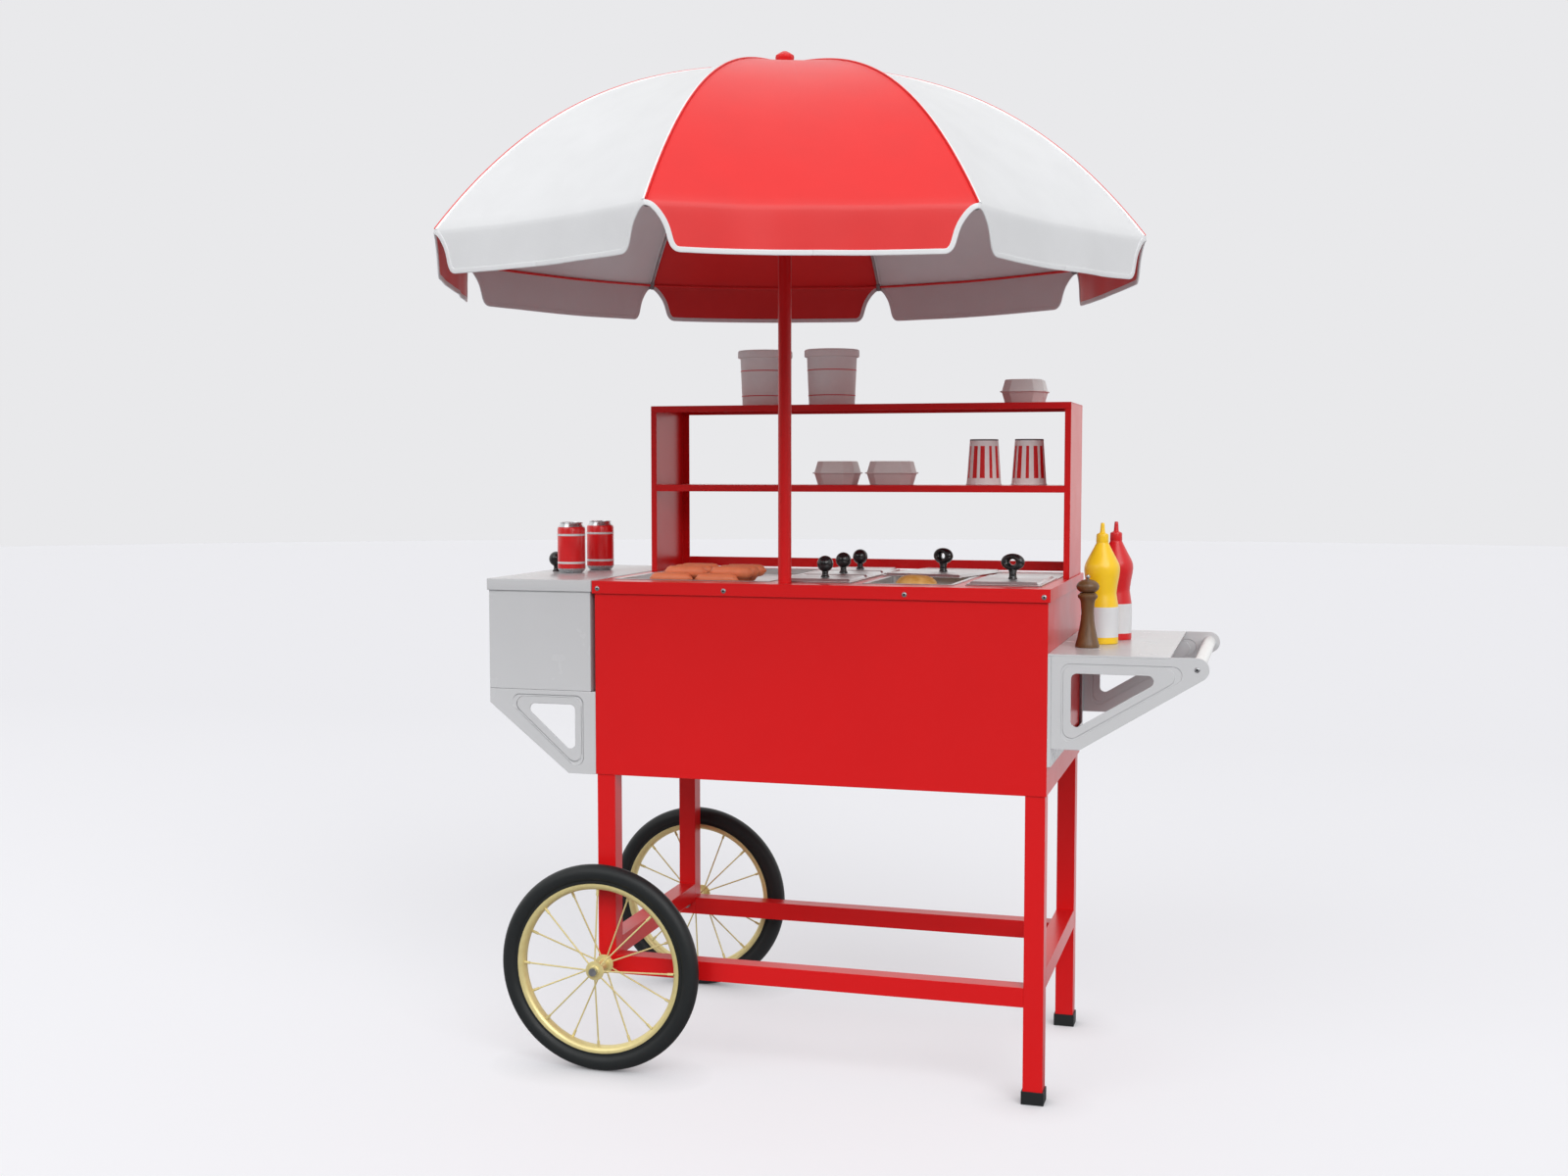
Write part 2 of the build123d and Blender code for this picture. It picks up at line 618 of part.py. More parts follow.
def ring_knob(z):
    """A knob with a stem and a standing finger ring, at height z on the Z axis."""
    face = Ellipse(RING_WIDTH / 2, RING_HEIGHT / 2) - Ellipse(RING_HOLE_WIDTH / 2, RING_HOLE_HEIGHT / 2)
    ring = plate_xz(face, -RING_THICKNESS / 2, RING_THICKNESS / 2)
    ring = fillet(ring.edges().filter_by(Axis.Y, reverse=True), RING_EDGE)
    ring = Pos(0, 0, z + RING_STEM_HEIGHT + RING_HEIGHT / 2) * Rot(0, 0, RING_TURN) * ring
    stem_top = z + RING_STEM_HEIGHT + (RING_HEIGHT - RING_HOLE_HEIGHT) / 4
    return upright(0, 0, z, z + KNOB_FOOT_HEIGHT, KNOB_FOOT) + upright(0, 0, z, stem_top, RING_STEM) + ring


def lids():
    knob_z = LID_Z + LID_SHEET + LID_RISE
    names = ("small_lid_front", "small_lid_middle", "small_lid_rear")
    for name, (row0, row1) in zip(names, small_pan_rows()):
        place = Pos(SMALL_X + SMALL_PAN_WIDTH / 2, (row0 + row1) / 2, 0)
        save(name, place * lid_plate(SMALL_PAN_WIDTH, SMALL_PAN_LENGTH), place * ball_knob(knob_z))
    middle = WELL_Y0 + LARGE_WELL_LENGTH / 2
    place = Pos(BUN_X + BUN_PAN_WIDTH / 2 + BUN_LID_ASIDE, middle + BUN_LID_BACK, 0)
    place *= Rot(0, 0, BUN_LID_TURN)
    save("bun_lid", place * lid_plate(BUN_PAN_WIDTH, LARGE_WELL_LENGTH), place * ring_knob(knob_z))
    place = Pos(END_X + END_PAN_WIDTH / 2, middle, 0)
    save("end_lid", place * lid_plate(END_PAN_WIDTH, LARGE_WELL_LENGTH), place * ring_knob(knob_z))


def heat():
    """The tube burner between the end panels, and the gas bottle on the cabinet floor."""
    y = WELL_Y0 + WELL_LENGTH / 2
    lying = Pos(0, y, BURNER_HEIGHT) * Rot(0, 90, 0)
    tube = Cylinder(BURNER_RADIUS, INNER_X1 - INNER_X0)
    flange_z = (INNER_X1 - INNER_X0 - BURNER_FLANGE_THICKNESS) / 2
    for z in (-flange_z, flange_z):
        tube += Pos(0, 0, z) * Cylinder(BURNER_FLANGE, BURNER_FLANGE_THICKNESS)
    tube -= Cylinder(BURNER_RADIUS - BURNER_WALL, INNER_X1 - INNER_X0 - 2 * BURNER_FLANGE_THICKNESS)
    tube = lying * tube
    for i in range(PORT_COUNT):
        x = (i - (PORT_COUNT - 1) / 2) * PORT_PITCH
        tube -= upright(x, y, BURNER_HEIGHT, BURNER_HEIGHT + BURNER_RADIUS + OVERCUT, PORT_RADIUS)
    save("burner", tube)
    shoulder = BOTTLE_HEIGHT + BOTTLE_SHOULDER
    top = shoulder + VALVE_HEIGHT
    bottle = turned(((BOTTLE_RADIUS - BOTTLE_FOOT, 0), (BOTTLE_RADIUS, BOTTLE_FOOT),
                     (BOTTLE_RADIUS, BOTTLE_HEIGHT), (VALVE_RADIUS, shoulder), (VALVE_RADIUS, top)))
    inside = BOTTLE_RADIUS - BOTTLE_WALL
    bottle -= turned(((inside - BOTTLE_FOOT, BOTTLE_WALL), (inside, BOTTLE_FOOT + BOTTLE_WALL),
                      (inside, BOTTLE_HEIGHT), (OUTLET_RADIUS, shoulder - 2 * BOTTLE_WALL),
                      (OUTLET_RADIUS, top + OVERCUT)))
    save("gas_bottle", Pos(BOTTLE_X, y, FLOOR_TOP) * bottle)


def screws():
    heads = []
    lip_face = Y0 - LIP_OVERHANG
    for x in screw_places():
        z = lip_screw_height()
        heads.append(along_y(x, z, lip_face - SCREW_HEAD_HEIGHT, lip_face, SCREW_HEAD)
                     + along_y(x, z, lip_face, INNER_Y0, SCREW_SHANK))
    for outside, inside in ((Y0, Y0 + CHEEK), (SIDE_Y1, SIDE_Y1 - CHEEK)):
        head_end = outside - SCREW_HEAD_HEIGHT if outside < inside else outside + SCREW_HEAD_HEIGHT
        head = along_y(HANDLE_X, HANDLE_Z, min(outside, head_end), max(outside, head_end), SCREW_HEAD)
        shank = along_y(HANDLE_X, HANDLE_Z, min(outside, inside), max(outside, inside), SCREW_SHANK)
        heads.append(head + shank)
    save("screws", *heads)


def shelf_unit():
    top_under = SHELF_TOP - SHELF_SHEET
    lip_low = SHELF_TOP - TOP_LIP
    ends = []
    for x, side in ((X0, 1), (X1, -1)):
        web_x = sorted((x, x + side * SHELF_SHEET))
        front_x = sorted((x, x + side * FRONT_RETURN))
        rear_x = sorted((x, x + side * REAR_RETURN))
        end = block(*web_x, SHELF_Y0, SHELF_Y1, WORKTOP_HEIGHT, lip_low)
        end += block(*web_x, SHELF_Y0 + SHELF_SHEET, SHELF_Y1 - SHELF_SHEET, lip_low, top_under)
        end += block(*front_x, SHELF_Y0, SHELF_Y0 + SHELF_SHEET, WORKTOP_HEIGHT, lip_low)
        end += block(*rear_x, SHELF_Y1 - SHELF_SHEET, SHELF_Y1, WORKTOP_HEIGHT, lip_low)
        ends.append(end)
    save("shelf_ends", *ends)
    top = block(X0, X1, SHELF_Y0, SHELF_Y1, top_under, SHELF_TOP)
    for y in (SHELF_Y0, SHELF_Y1 - SHELF_SHEET):
        top += block(X0, X1, y, y + SHELF_SHEET, lip_low, top_under)
    inner_x0 = X0 + SHELF_SHEET
    inner_x1 = X1 - SHELF_SHEET
    middle_under = SHELF_MIDDLE - SHELF_SHEET
    middle = block(inner_x0, inner_x1, SHELF_Y0 + SHELF_SHEET, SHELF_Y1 - SHELF_SHEET,
                   middle_under, SHELF_MIDDLE)
    middle += block(X0 + FRONT_RETURN, X1 - FRONT_RETURN, SHELF_Y0, SHELF_Y0 + SHELF_SHEET,
                    SHELF_MIDDLE - MIDDLE_LIP, SHELF_MIDDLE)
    rail_low = WORKTOP_HEIGHT + REAR_RAIL_GAP
    rail = block(X0 + REAR_RETURN, X1 - REAR_RETURN, SHELF_Y1 - SHELF_SHEET, SHELF_Y1,
                 rail_low, rail_low + REAR_RAIL)
    save("shelves", top, middle, rail)


def window_face(corners, grow=0.0):
    """A rounded triangular window, or the outline pressed around it at a distance."""
    face = make_face(Polyline(*corners, close=True))
    if grow:
        face = offset(face, grow, kind=Kind.INTERSECTION)
    return fillet(face.vertices(), GROOVE_CORNER if grow else WINDOW_CORNER)


def windowed(plate, corners, faces_y):
    """Cuts a window through a plate, with a pressed groove around it in the faces at faces_y."""
    plate -= plate_xz(window_face(corners), faces_y[0] - OVERCUT, faces_y[1] + OVERCUT)
    ring = window_face(corners, GROOVE_OFFSET + GROOVE_WIDTH) - window_face(corners, GROOVE_OFFSET)
    plate -= plate_xz(ring, faces_y[0] - OVERCUT, faces_y[0] + GROOVE_DEPTH)
    return plate - plate_xz(ring, faces_y[1] - GROOVE_DEPTH, faces_y[1] + OVERCUT)


def cold_box():
    box = block(COLD_X0, COLD_X1, COLD_Y0, COLD_Y1, COLD_BOTTOM, COLD_RIM)
    box -= block(COLD_X0 + COLD_WALL, COLD_X1 - COLD_WALL, COLD_Y0 + COLD_WALL, COLD_Y1 - COLD_WALL,
                 COLD_BOTTOM + COLD_WALL, COLD_RIM + OVERCUT)
    save("cold_box", box)
    over = COLD_LID_GAP + COLD_LID_WALL
    low = COLD_TOP - COLD_LID_LIP
    lid = block(COLD_X0 - over, COLD_X1 + over, COLD_Y0 - over, COLD_Y1 + over, low, COLD_TOP)
    gap = COLD_LID_GAP
    lid -= block(COLD_X0 - gap, COLD_X1 + gap, COLD_Y0 - gap, COLD_Y1 + gap, low - OVERCUT,
                 COLD_RIM + CLEARANCE)
    knob = Pos(COLD_X0 + COLD_KNOB_INSET, COLD_Y0 + COLD_KNOB_BACK, 0) * ball_knob(COLD_TOP)
    save("cold_box_lid", lid, knob)
    diagonal_top = COLD_BOTTOM - COLD_BRACKET_EDGE
    outline = Polygon((COLD_X0, COLD_BOTTOM), (COLD_X0, diagonal_top),
                      (X0 - COLD_BRACKET_FOOT, COLD_BRACKET_BOTTOM), (X0, COLD_BRACKET_BOTTOM),
                      (X0, COLD_BOTTOM), align=None)
    window_x = X0 - COLD_WINDOW_INSET
    window_z = COLD_BOTTOM - COLD_WINDOW_TOP
    corners = ((window_x, window_z), (window_x - COLD_WINDOW_LENGTH, window_z),
               (window_x, window_z - COLD_WINDOW_DROP))
    cheeks = []
    for y0 in (COLD_Y0, COLD_Y1 - CHEEK):
        cheeks.append(windowed(plate_xz(outline, y0, y0 + CHEEK), corners, (y0, y0 + CHEEK)))
    inside = (COLD_Y0 + CHEEK, COLD_Y1 - CHEEK)
    tray = block(COLD_X0, X0, *inside, COLD_BOTTOM - PANEL, COLD_BOTTOM)
    back = block(X0 - PANEL, X0, *inside, COLD_BRACKET_BOTTOM, COLD_BOTTOM - PANEL)
    save("cold_box_bracket", *cheeks, tray, back)


def side_shelf():
    cheek_top = SIDE_TOP - SIDE_SHEET
    plate_end = X1 + SIDE_LENGTH
    save("side_shelf_plate", block(X1, plate_end, Y0, SIDE_Y1, cheek_top, SIDE_TOP))
    foot = (X1 + CHEEK_FOOT, CHEEK_BOTTOM)
    away = hypot(HANDLE_X - foot[0], HANDLE_Z - foot[1])
    slope = atan2(HANDLE_Z - foot[1], HANDLE_X - foot[0]) - asin(EAR_RADIUS / away)
    ear_top = HANDLE_Z + EAR_RADIUS
    corner = (foot[0] + (ear_top - foot[1]) / tan(slope), ear_top)
    start = X1 + SIDE_PLATE
    edge = FilletPolyline((start, cheek_top), (plate_end, cheek_top), (plate_end, ear_top), corner, foot,
                          (start, CHEEK_BOTTOM), radius=[0, 0, 0, EAR_RADIUS, 0, 0], close=True)
    outline = make_face(edge)
    window_x = X1 + SIDE_WINDOW_INSET
    window_z = SIDE_TOP - SIDE_WINDOW_TOP
    corners = ((window_x, window_z), (window_x, window_z - SIDE_WINDOW_DROP),
               (window_x + SIDE_WINDOW_LENGTH, window_z))
    cheeks = []
    for y0 in (Y0, SIDE_Y1 - CHEEK):
        cheek = windowed(plate_xz(outline, y0, y0 + CHEEK), corners, (y0, y0 + CHEEK))
        cheeks.append(cheek - screw_hole(HANDLE_X, HANDLE_Z, y0 - OVERCUT, y0 + CHEEK + OVERCUT))
    back = block(X1, X1 + SIDE_PLATE, Y0, SIDE_Y1, SIDE_PLATE_BOTTOM, cheek_top)
    back -= block(X1 - OVERCUT, X1 + SIDE_PLATE - PANEL, Y0 + PANEL, SIDE_Y1 - PANEL,
                  SIDE_PLATE_BOTTOM + PANEL, cheek_top - PANEL)
    back -= block(X1 - OVERCUT, X1 + SIDE_PLATE + OVERCUT, Y0 + SIDE_PLATE_SOLID, SIDE_Y1 - SIDE_PLATE_EDGE,
                  SIDE_PLATE_BOTTOM + SIDE_PLATE_EDGE, cheek_top - SIDE_PLATE_BAND)
    save("side_shelf_bracket", *cheeks, back)
    grip_y0 = Y0 + CHEEK
    grip_y1 = SIDE_Y1 - CHEEK
    grip = along_y(HANDLE_X, HANDLE_Z, grip_y0, grip_y1, HANDLE_RADIUS)
    grip -= along_y(HANDLE_X, HANDLE_Z, grip_y0 - OVERCUT, grip_y1 + OVERCUT, HANDLE_RADIUS - HANDLE_WALL)
    save("push_handle", grip)


def tyre_profile():
    """A round tread on a tongue that fills the rim's channel."""
    centre = WHEEL_RADIUS - TYRE_SECTION / 2
    tongue = RIM_WIDTH / 2 - RIM_SHEET - SCREW_CLEARANCE
    low = RIM_INNER + RIM_SHEET + SCREW_CLEARANCE
    tread = Pos(centre, 0) * Circle(TYRE_SECTION / 2)
    tread -= Pos(RIM_OUTER / 2 + SCREW_CLEARANCE, 0) * Rectangle(RIM_OUTER, TYRE_SECTION)
    return tread + Pos((low + centre) / 2, 0) * Rectangle(centre - low, 2 * tongue)


def rim_profile():
    channel = Pos((RIM_INNER + RIM_OUTER) / 2, 0) * Rectangle(RIM_OUTER - RIM_INNER, RIM_WIDTH)
    gap = RIM_OUTER - RIM_INNER - RIM_SHEET
    return channel - Pos(RIM_OUTER - gap / 2, 0) * Rectangle(gap, RIM_WIDTH - 2 * RIM_SHEET)


def wheel_metal():
    """Rim, hub and spokes of one wheel, about Z, as a list of solids."""
    rim = revolve(Plane.XZ * rim_profile(), Axis.Z)
    hub = Cylinder(HUB_RADIUS, HUB_LENGTH)
    flange_z = FLANGE_SPREAD / 2
    for z in (-flange_z, flange_z):
        hub += Pos(0, 0, z) * Cylinder(FLANGE_RADIUS, FLANGE_THICKNESS)
    hub -= Cylinder(AXLE_RADIUS + RUNNING, HUB_LENGTH + 2 * OVERCUT)
    near = FLANGE_RADIUS + CLEARANCE
    far = RIM_INNER - CLEARANCE
    spokes = []
    for i in range(SPOKE_COUNT):
        angle = 2 * pi * i / SPOKE_COUNT
        side = 1 if i % 2 == 0 else -1
        spokes.append(bar((near * cos(angle), near * sin(angle), side * flange_z),
                          (far * cos(angle), far * sin(angle), side * SPOKE_DISH), SPOKE_RADIUS))
    return [rim, hub, *spokes]


def wheels():
    metal = wheel_metal()
    tyre = revolve(Plane.XZ * tyre_profile(), Axis.Z)
    bolts = []
    sides = (("front", LEG_Y[0], LEG_Y[0] + TUBE, -1), ("rear", LEG_Y[1] + TUBE, LEG_Y[1], 1))
    for name, leg_outer, leg_inner, out in sides:
        middle = leg_outer + out * WHEEL_STANDOFF
        place = Pos(AXLE_X, middle, WHEEL_RADIUS) * Rot(90, 0, 0)
        save(f"{name}_wheel", *[place * piece for piece in metal])
        save(f"{name}_tyre", place * tyre)
        hub_end = middle + out * (HUB_LENGTH / 2 + CLEARANCE)
        hub_start = middle - out * (HUB_LENGTH / 2 + CLEARANCE)
        head_end = hub_end + out * BOLT_HEAD_HEIGHT
        nut_end = leg_inner - out * NUT_HEIGHT
        spans = ((nut_end, hub_end, AXLE_RADIUS), (leg_outer, hub_start, AXLE_COLLAR),
                 (hub_end, head_end, BOLT_HEAD))
        bolt = [along_y(AXLE_X, WHEEL_RADIUS, min(a, b), max(a, b), r) for a, b, r in spans]
        nut = along_y(AXLE_X, WHEEL_RADIUS, min(leg_inner, nut_end), max(leg_inner, nut_end), BOLT_HEAD)
        bolts.append(bolt[0] + bolt[1] + bolt[2] + nut)
    save("axle_bolts", *bolts)


def on_pole(shape, azimuth=0.0):
    """Turns a shape made about the Z axis to one rib's direction and stands it on the pole."""
    return Pos(POLE_X, 0, 0) * Rot(0, 0, azimuth) * shape


def rib_azimuth(i):
    return FIRST_RIB + i * RIB_STEP


def dome(inset):
    """A dome with one side per gore, through rings spaced evenly from crown to rim, inset by a thickness."""
    rings = []
    for i in range(CANOPY_RINGS):
        r = CROWN_HOLE + (UMBRELLA_RADIUS - CROWN_HOLE) * i / (CANOPY_RINGS - 1)
        slope = canopy_slope(r)
        ring = RegularPolygon(r - inset * sin(slope), RIB_COUNT, rotation=FIRST_RIB)
        rings.append(Pos(0, 0, canopy_height(r) - inset * cos(slope)) * ring)
    return loft(rings, ruled=True)


def flap_face():
    """One hanging flap, drawn with its top edge along X and the rib tips at both ends."""
    half = UMBRELLA_RADIUS * sin(radians(RIB_STEP / 2))
    right = [(half, 0), (half, -NOTCH_TOP), (half - NOTCH_SHOULDER, -NOTCH_SHOULDER_DROP),
             (half - NOTCH_FOOT, -FLAP_DROP)]
    left = [(-x, z) for x, z in reversed(right)]
    radii = [0, 0, NOTCH_BELL, FLAP_CORNER, FLAP_CORNER, NOTCH_BELL, 0, 0]
    return make_face(FilletPolyline(*right, *left, radius=radii, close=True))


def canopy():
    shell = dome(0) - dome(FABRIC)
    apothem = UMBRELLA_RADIUS * cos(radians(RIB_STEP / 2))
    flap = flap_face()
    for i in range(RIB_COUNT):
        azimuth = radians(rib_azimuth(i) + RIB_STEP / 2)
        out = Vector(cos(azimuth), sin(azimuth), 0)
        across = Vector(-sin(azimuth), cos(azimuth), 0)
        plane = Plane(origin=out * apothem + Vector(0, 0, RIM_HEIGHT), x_dir=across, z_dir=out)
        shell += extrude(plane * flap, -FABRIC)
    shell -= Pos(0, 0, CROWN_HEIGHT) * Cylinder(CROWN_STUD_HOLE, 4 * FABRIC)
    save("canopy", on_pole(shell))


def rib():
    """One bent rib in the XZ plane: a pivot tab at the crown, the rod, and the stretcher's pin."""
    rod_start = RIB_PIVOT_RADIUS + RIB_TAB_LENGTH / 2
    places = [rod_start + (TIP_R - rod_start) * i / (RIB_POINTS - 1) for i in range(RIB_POINTS)]
    path = Spline(*[(r, 0, rib_height(r)) for r in places])
    rod = sweep(Plane(origin=path @ 0, z_dir=path % 0) * Circle(RIB_RADIUS), path=path)
    tab_end = RIB_PIVOT_RADIUS + RIB_TAB_LENGTH
    tab_z = rib_height(tab_end)
    tab = Pos(RIB_PIVOT_RADIUS, PIVOT_Z) * Circle(RIB_EYE)
    tab += Polygon((RIB_PIVOT_RADIUS, PIVOT_Z + RIB_EYE), (tab_end, tab_z + RIB_RADIUS),
                   (tab_end, tab_z - RIB_RADIUS), (RIB_PIVOT_RADIUS, PIVOT_Z - RIB_EYE), align=None)
    tab = plate_xz(tab, -RIB_TAB / 2, RIB_TAB / 2)
    pin_half = RIB_RADIUS + FORK_GAP + FORK_EAR
    body = rod + tab + along_y(JOINT_R, JOINT_Z, -pin_half, pin_half, HINGE_PIN)
    return body - along_y(RIB_PIVOT_RADIUS, PIVOT_Z, -RIB_TAB, RIB_TAB, HINGE_PIN + RUNNING)


def stretcher():
    """One stretcher in the XZ plane: a fork over the rib's pin, a rod, and a round end in the runner."""
    run = Vector(RIB_PIVOT_RADIUS - JOINT_R, 0, RUNNER_Z - JOINT_Z).normalized()
    joint = Vector(JOINT_R, 0, JOINT_Z)
    end = joint + run * STRETCHER
    inner = RIB_RADIUS + FORK_GAP
    outer = inner + FORK_EAR
    plane = Plane(origin=joint, x_dir=run, z_dir=(0, 1, 0))
    ear = Circle(FORK_EYE) + Pos(FORK_REACH / 2, 0) * Rectangle(FORK_REACH, 2 * FORK_EYE)
    ear -= Circle(HINGE_PIN + RUNNING)
    body = plane * (Pos(0, 0, inner) * extrude(ear, FORK_EAR) + Pos(0, 0, -outer) * extrude(ear, FORK_EAR)
                    + Pos(FORK_REACH + FORK_EYE / 2, 0, 0) * Box(FORK_EYE, 2 * FORK_EYE, 2 * outer))
    rod_start = joint + run * (FORK_REACH + FORK_EYE / 2)
    return body + bar(tuple(rod_start), tuple(end), STRETCHER_RADIUS) + Pos(*end) * Sphere(STRETCHER_RADIUS)


def star(radius, z0, z1, slot, core):
    """A round boss with a radial slot, open to its outside, for each rib."""
    boss = upright(0, 0, z0, z1, radius)
    for i in range(RIB_COUNT):
        cut = block(core, radius + OVERCUT, -slot / 2, slot / 2, z0 - OVERCUT, z1 + OVERCUT)
        boss -= Rot(0, 0, rib_azimuth(i)) * cut
    return boss


def umbrella():
    pole_low = FLOOR_TOP + SOCKET_BASE
    socket = upright(0, 0, FLOOR_TOP, WORKTOP_UNDER, SOCKET_RADIUS)
    socket -= upright(0, 0, pole_low, WORKTOP_UNDER + OVERCUT, POLE_RADIUS + CLEARANCE)
    save("pole_socket", on_pole(socket))
    pole = upright(0, 0, pole_low, HUB_LOW, POLE_RADIUS)
    pole -= upright(0, 0, pole_low - OVERCUT, HUB_LOW + OVERCUT, POLE_RADIUS - POLE_WALL)
    save("pole", on_pole(pole))
    slot = RIB_TAB + 2 * SLOT_SIDE
    hub = star(CROWN_RADIUS, HUB_LOW, HUB_TOP, slot, CROWN_CORE)
    pin_half = slot / 2 + HUB_PIN_GRIP
    for i in range(RIB_COUNT):
        pin = along_y(RIB_PIVOT_RADIUS, PIVOT_Z, -pin_half, pin_half, HINGE_PIN)
        hub += Rot(0, 0, rib_azimuth(i)) * pin
    save("crown_hub", on_pole(hub))
    knob_low = canopy_height(CROWN_HOLE) + CLEARANCE
    finial = upright(0, 0, HUB_TOP, knob_low + FINIAL_STUD, FINIAL_STUD)
    save("finial", on_pole(finial + Pos(0, 0, knob_low) * turned(FINIAL_PROFILE)))
    runner_slot = 2 * (STRETCHER_RADIUS + SLOT_SIDE)
    low = RUNNER_Z - RUNNER_BELOW
    high = RUNNER_Z + RUNNER_ABOVE
    runner = star(RUNNER_RADIUS, low, high, runner_slot, RUNNER_SLEEVE)
    runner -= upright(0, 0, low - OVERCUT, high + OVERCUT, POLE_RADIUS + RUNNER_FIT)
    save("runner", on_pole(runner))
    one_rib = rib()
    one_stretcher = stretcher()
    for i in range(RIB_COUNT):
        save(f"rib_{i + 1}", on_pole(one_rib, rib_azimuth(i)))
        save(f"stretcher_{i + 1}", on_pole(one_stretcher, rib_azimuth(i)))


def sausage():
    half = SAUSAGE_LENGTH / 2 - SAUSAGE_RADIUS
    body = Cylinder(SAUSAGE_RADIUS, 2 * half)
    for z in (-half, half):
        body += Pos(0, 0, z) * Sphere(SAUSAGE_RADIUS)
    return Rot(0, 90, 0) * body


def food():
    floor = WORKTOP_HEIGHT - SAUSAGE_PAN_DEPTH + PAN_SHEET
    one = sausage()
    nest = ((2 * SAUSAGE_RADIUS + CLEARANCE) ** 2 - (SAUSAGE_PITCH / 2) ** 2) ** 0.5
    pile = []
    for layer, rows in enumerate((SAUSAGE_ROWS, SAUSAGE_TOP_ROWS)):
        for row in range(rows):
            y = WELL_Y0 + SAUSAGE_START[1] + (row + (layer + 1) / 2) * SAUSAGE_PITCH
            for column in range(SAUSAGE_COLUMNS):
                x = SAUSAGE_X + SAUSAGE_START[0] + layer * SAUSAGE_TOP_SHIFT
                x += (column + 0.5) * (SAUSAGE_LENGTH + SAUSAGE_END_GAP)
                pile.append(Pos(x, y, floor + SAUSAGE_RADIUS + layer * nest) * one)
    save("sausages", *pile)
    floor = WORKTOP_HEIGHT - BUN_PAN_DEPTH + PAN_SHEET
    place = Pos(BUN_X + BUN_PAN_WIDTH / 2, WELL_Y0 + BUN_BACK, floor)
    save("burger_bun", place * turned(BUN_PROFILE))


def can(x, y):
    body = turned(((CAN_NECK, 0), (CAN_RADIUS, CAN_TAPER), (CAN_RADIUS, CAN_HEIGHT - CAN_TAPER),
                   (CAN_NECK, CAN_HEIGHT)))
    return Pos(x, y, COLD_TOP) * body


def tub(x, y, z):
    lid_low = TUB_HEIGHT - TUB_LID_HEIGHT
    body = turned(((TUB_BASE_RADIUS, 0), (TUB_TOP_RADIUS, lid_low), (TUB_LID_RADIUS, lid_low),
                   (TUB_LID_RADIUS, TUB_HEIGHT)))
    return Pos(x, y, z) * body


def clamshell(x, y, z, turn=0.0):
    """A folded box, a little narrower across than along."""
    half = BOX_HEIGHT / 2
    flat = Rectangle(BOX_BASE, BOX_BASE - BOX_NARROWER)
    seam = Pos(0, 0, half) * Rectangle(BOX_SEAM, BOX_SEAM - BOX_NARROWER)
    base = loft([flat, seam])
    top = loft([seam, Pos(0, 0, BOX_HEIGHT) * flat])
    rim = Pos(0, 0, half) * Box(BOX_RIM, BOX_RIM - BOX_NARROWER, BOX_RIM_HEIGHT)
    return Pos(x, y, z) * Rot(0, 0, turn) * (base + top + rim)


def cup(x, y, z):
    shell = turned(((CUP_MOUTH, 0), (CUP_BASE, CUP_HEIGHT)))
    shell -= turned(((CUP_MOUTH - CUP_WALL, -CUP_WALL), (CUP_BASE - CUP_WALL, CUP_HEIGHT - 3 * CUP_WALL)))
    return Pos(x, y, z) * shell


def mill():
    body = turned(MILL_PROFILE)
    top = MILL_PROFILE[-1][1]
    flatten = MILL_HEAD_HEIGHT / 2 / MILL_HEAD_RADIUS
    head = scale(Sphere(MILL_HEAD_RADIUS), (1, 1, flatten))
    body += Pos(0, 0, top + MILL_HEAD_HEIGHT / 2 - MILL_HEAD_SEAT) * head
    nut_z = top + MILL_HEAD_HEIGHT + MILL_NUT
    return body + upright(0, 0, top, nut_z, MILL_STEM) + Pos(0, 0, nut_z) * Sphere(MILL_NUT)


def goods():
    save("drink_cans", *[can(x, y) for x, y in CAN_PLACES])
    y = SHELF_Y0 + GOODS_BACK
    paper = [tub(x, y, SHELF_TOP) for x in TUB_PLACES]
    paper.append(clamshell(TOP_BOX_PLACE, y, SHELF_TOP, BOX_TURN))
    paper += [clamshell(x, y, SHELF_MIDDLE, turn) for x, turn in zip(MIDDLE_BOX_PLACES, (BOX_TURN, 0))]
    paper += [cup(x, y, SHELF_MIDDLE) for x in CUP_PLACES]
    save("paper_goods", *paper)
    squeeze = turned(SQUEEZE_PROFILE)
    bottles = [Pos(*place, SIDE_TOP) * squeeze for place in (MUSTARD_PLACE, KETCHUP_PLACE)]
    save("condiments", Pos(*MILL_PLACE, SIDE_TOP) * mill(), *bottles)


os.makedirs("parts", exist_ok=True)
frame()
cabinet()
worktop()
pans()
lids()
heat()
screws()
shelf_unit()
cold_box()
side_shelf()
wheels()
canopy()
umbrella()
food()
goods()
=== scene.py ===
"""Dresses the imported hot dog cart: canopy, wheels, lids, food, packages, finishes and stage."""

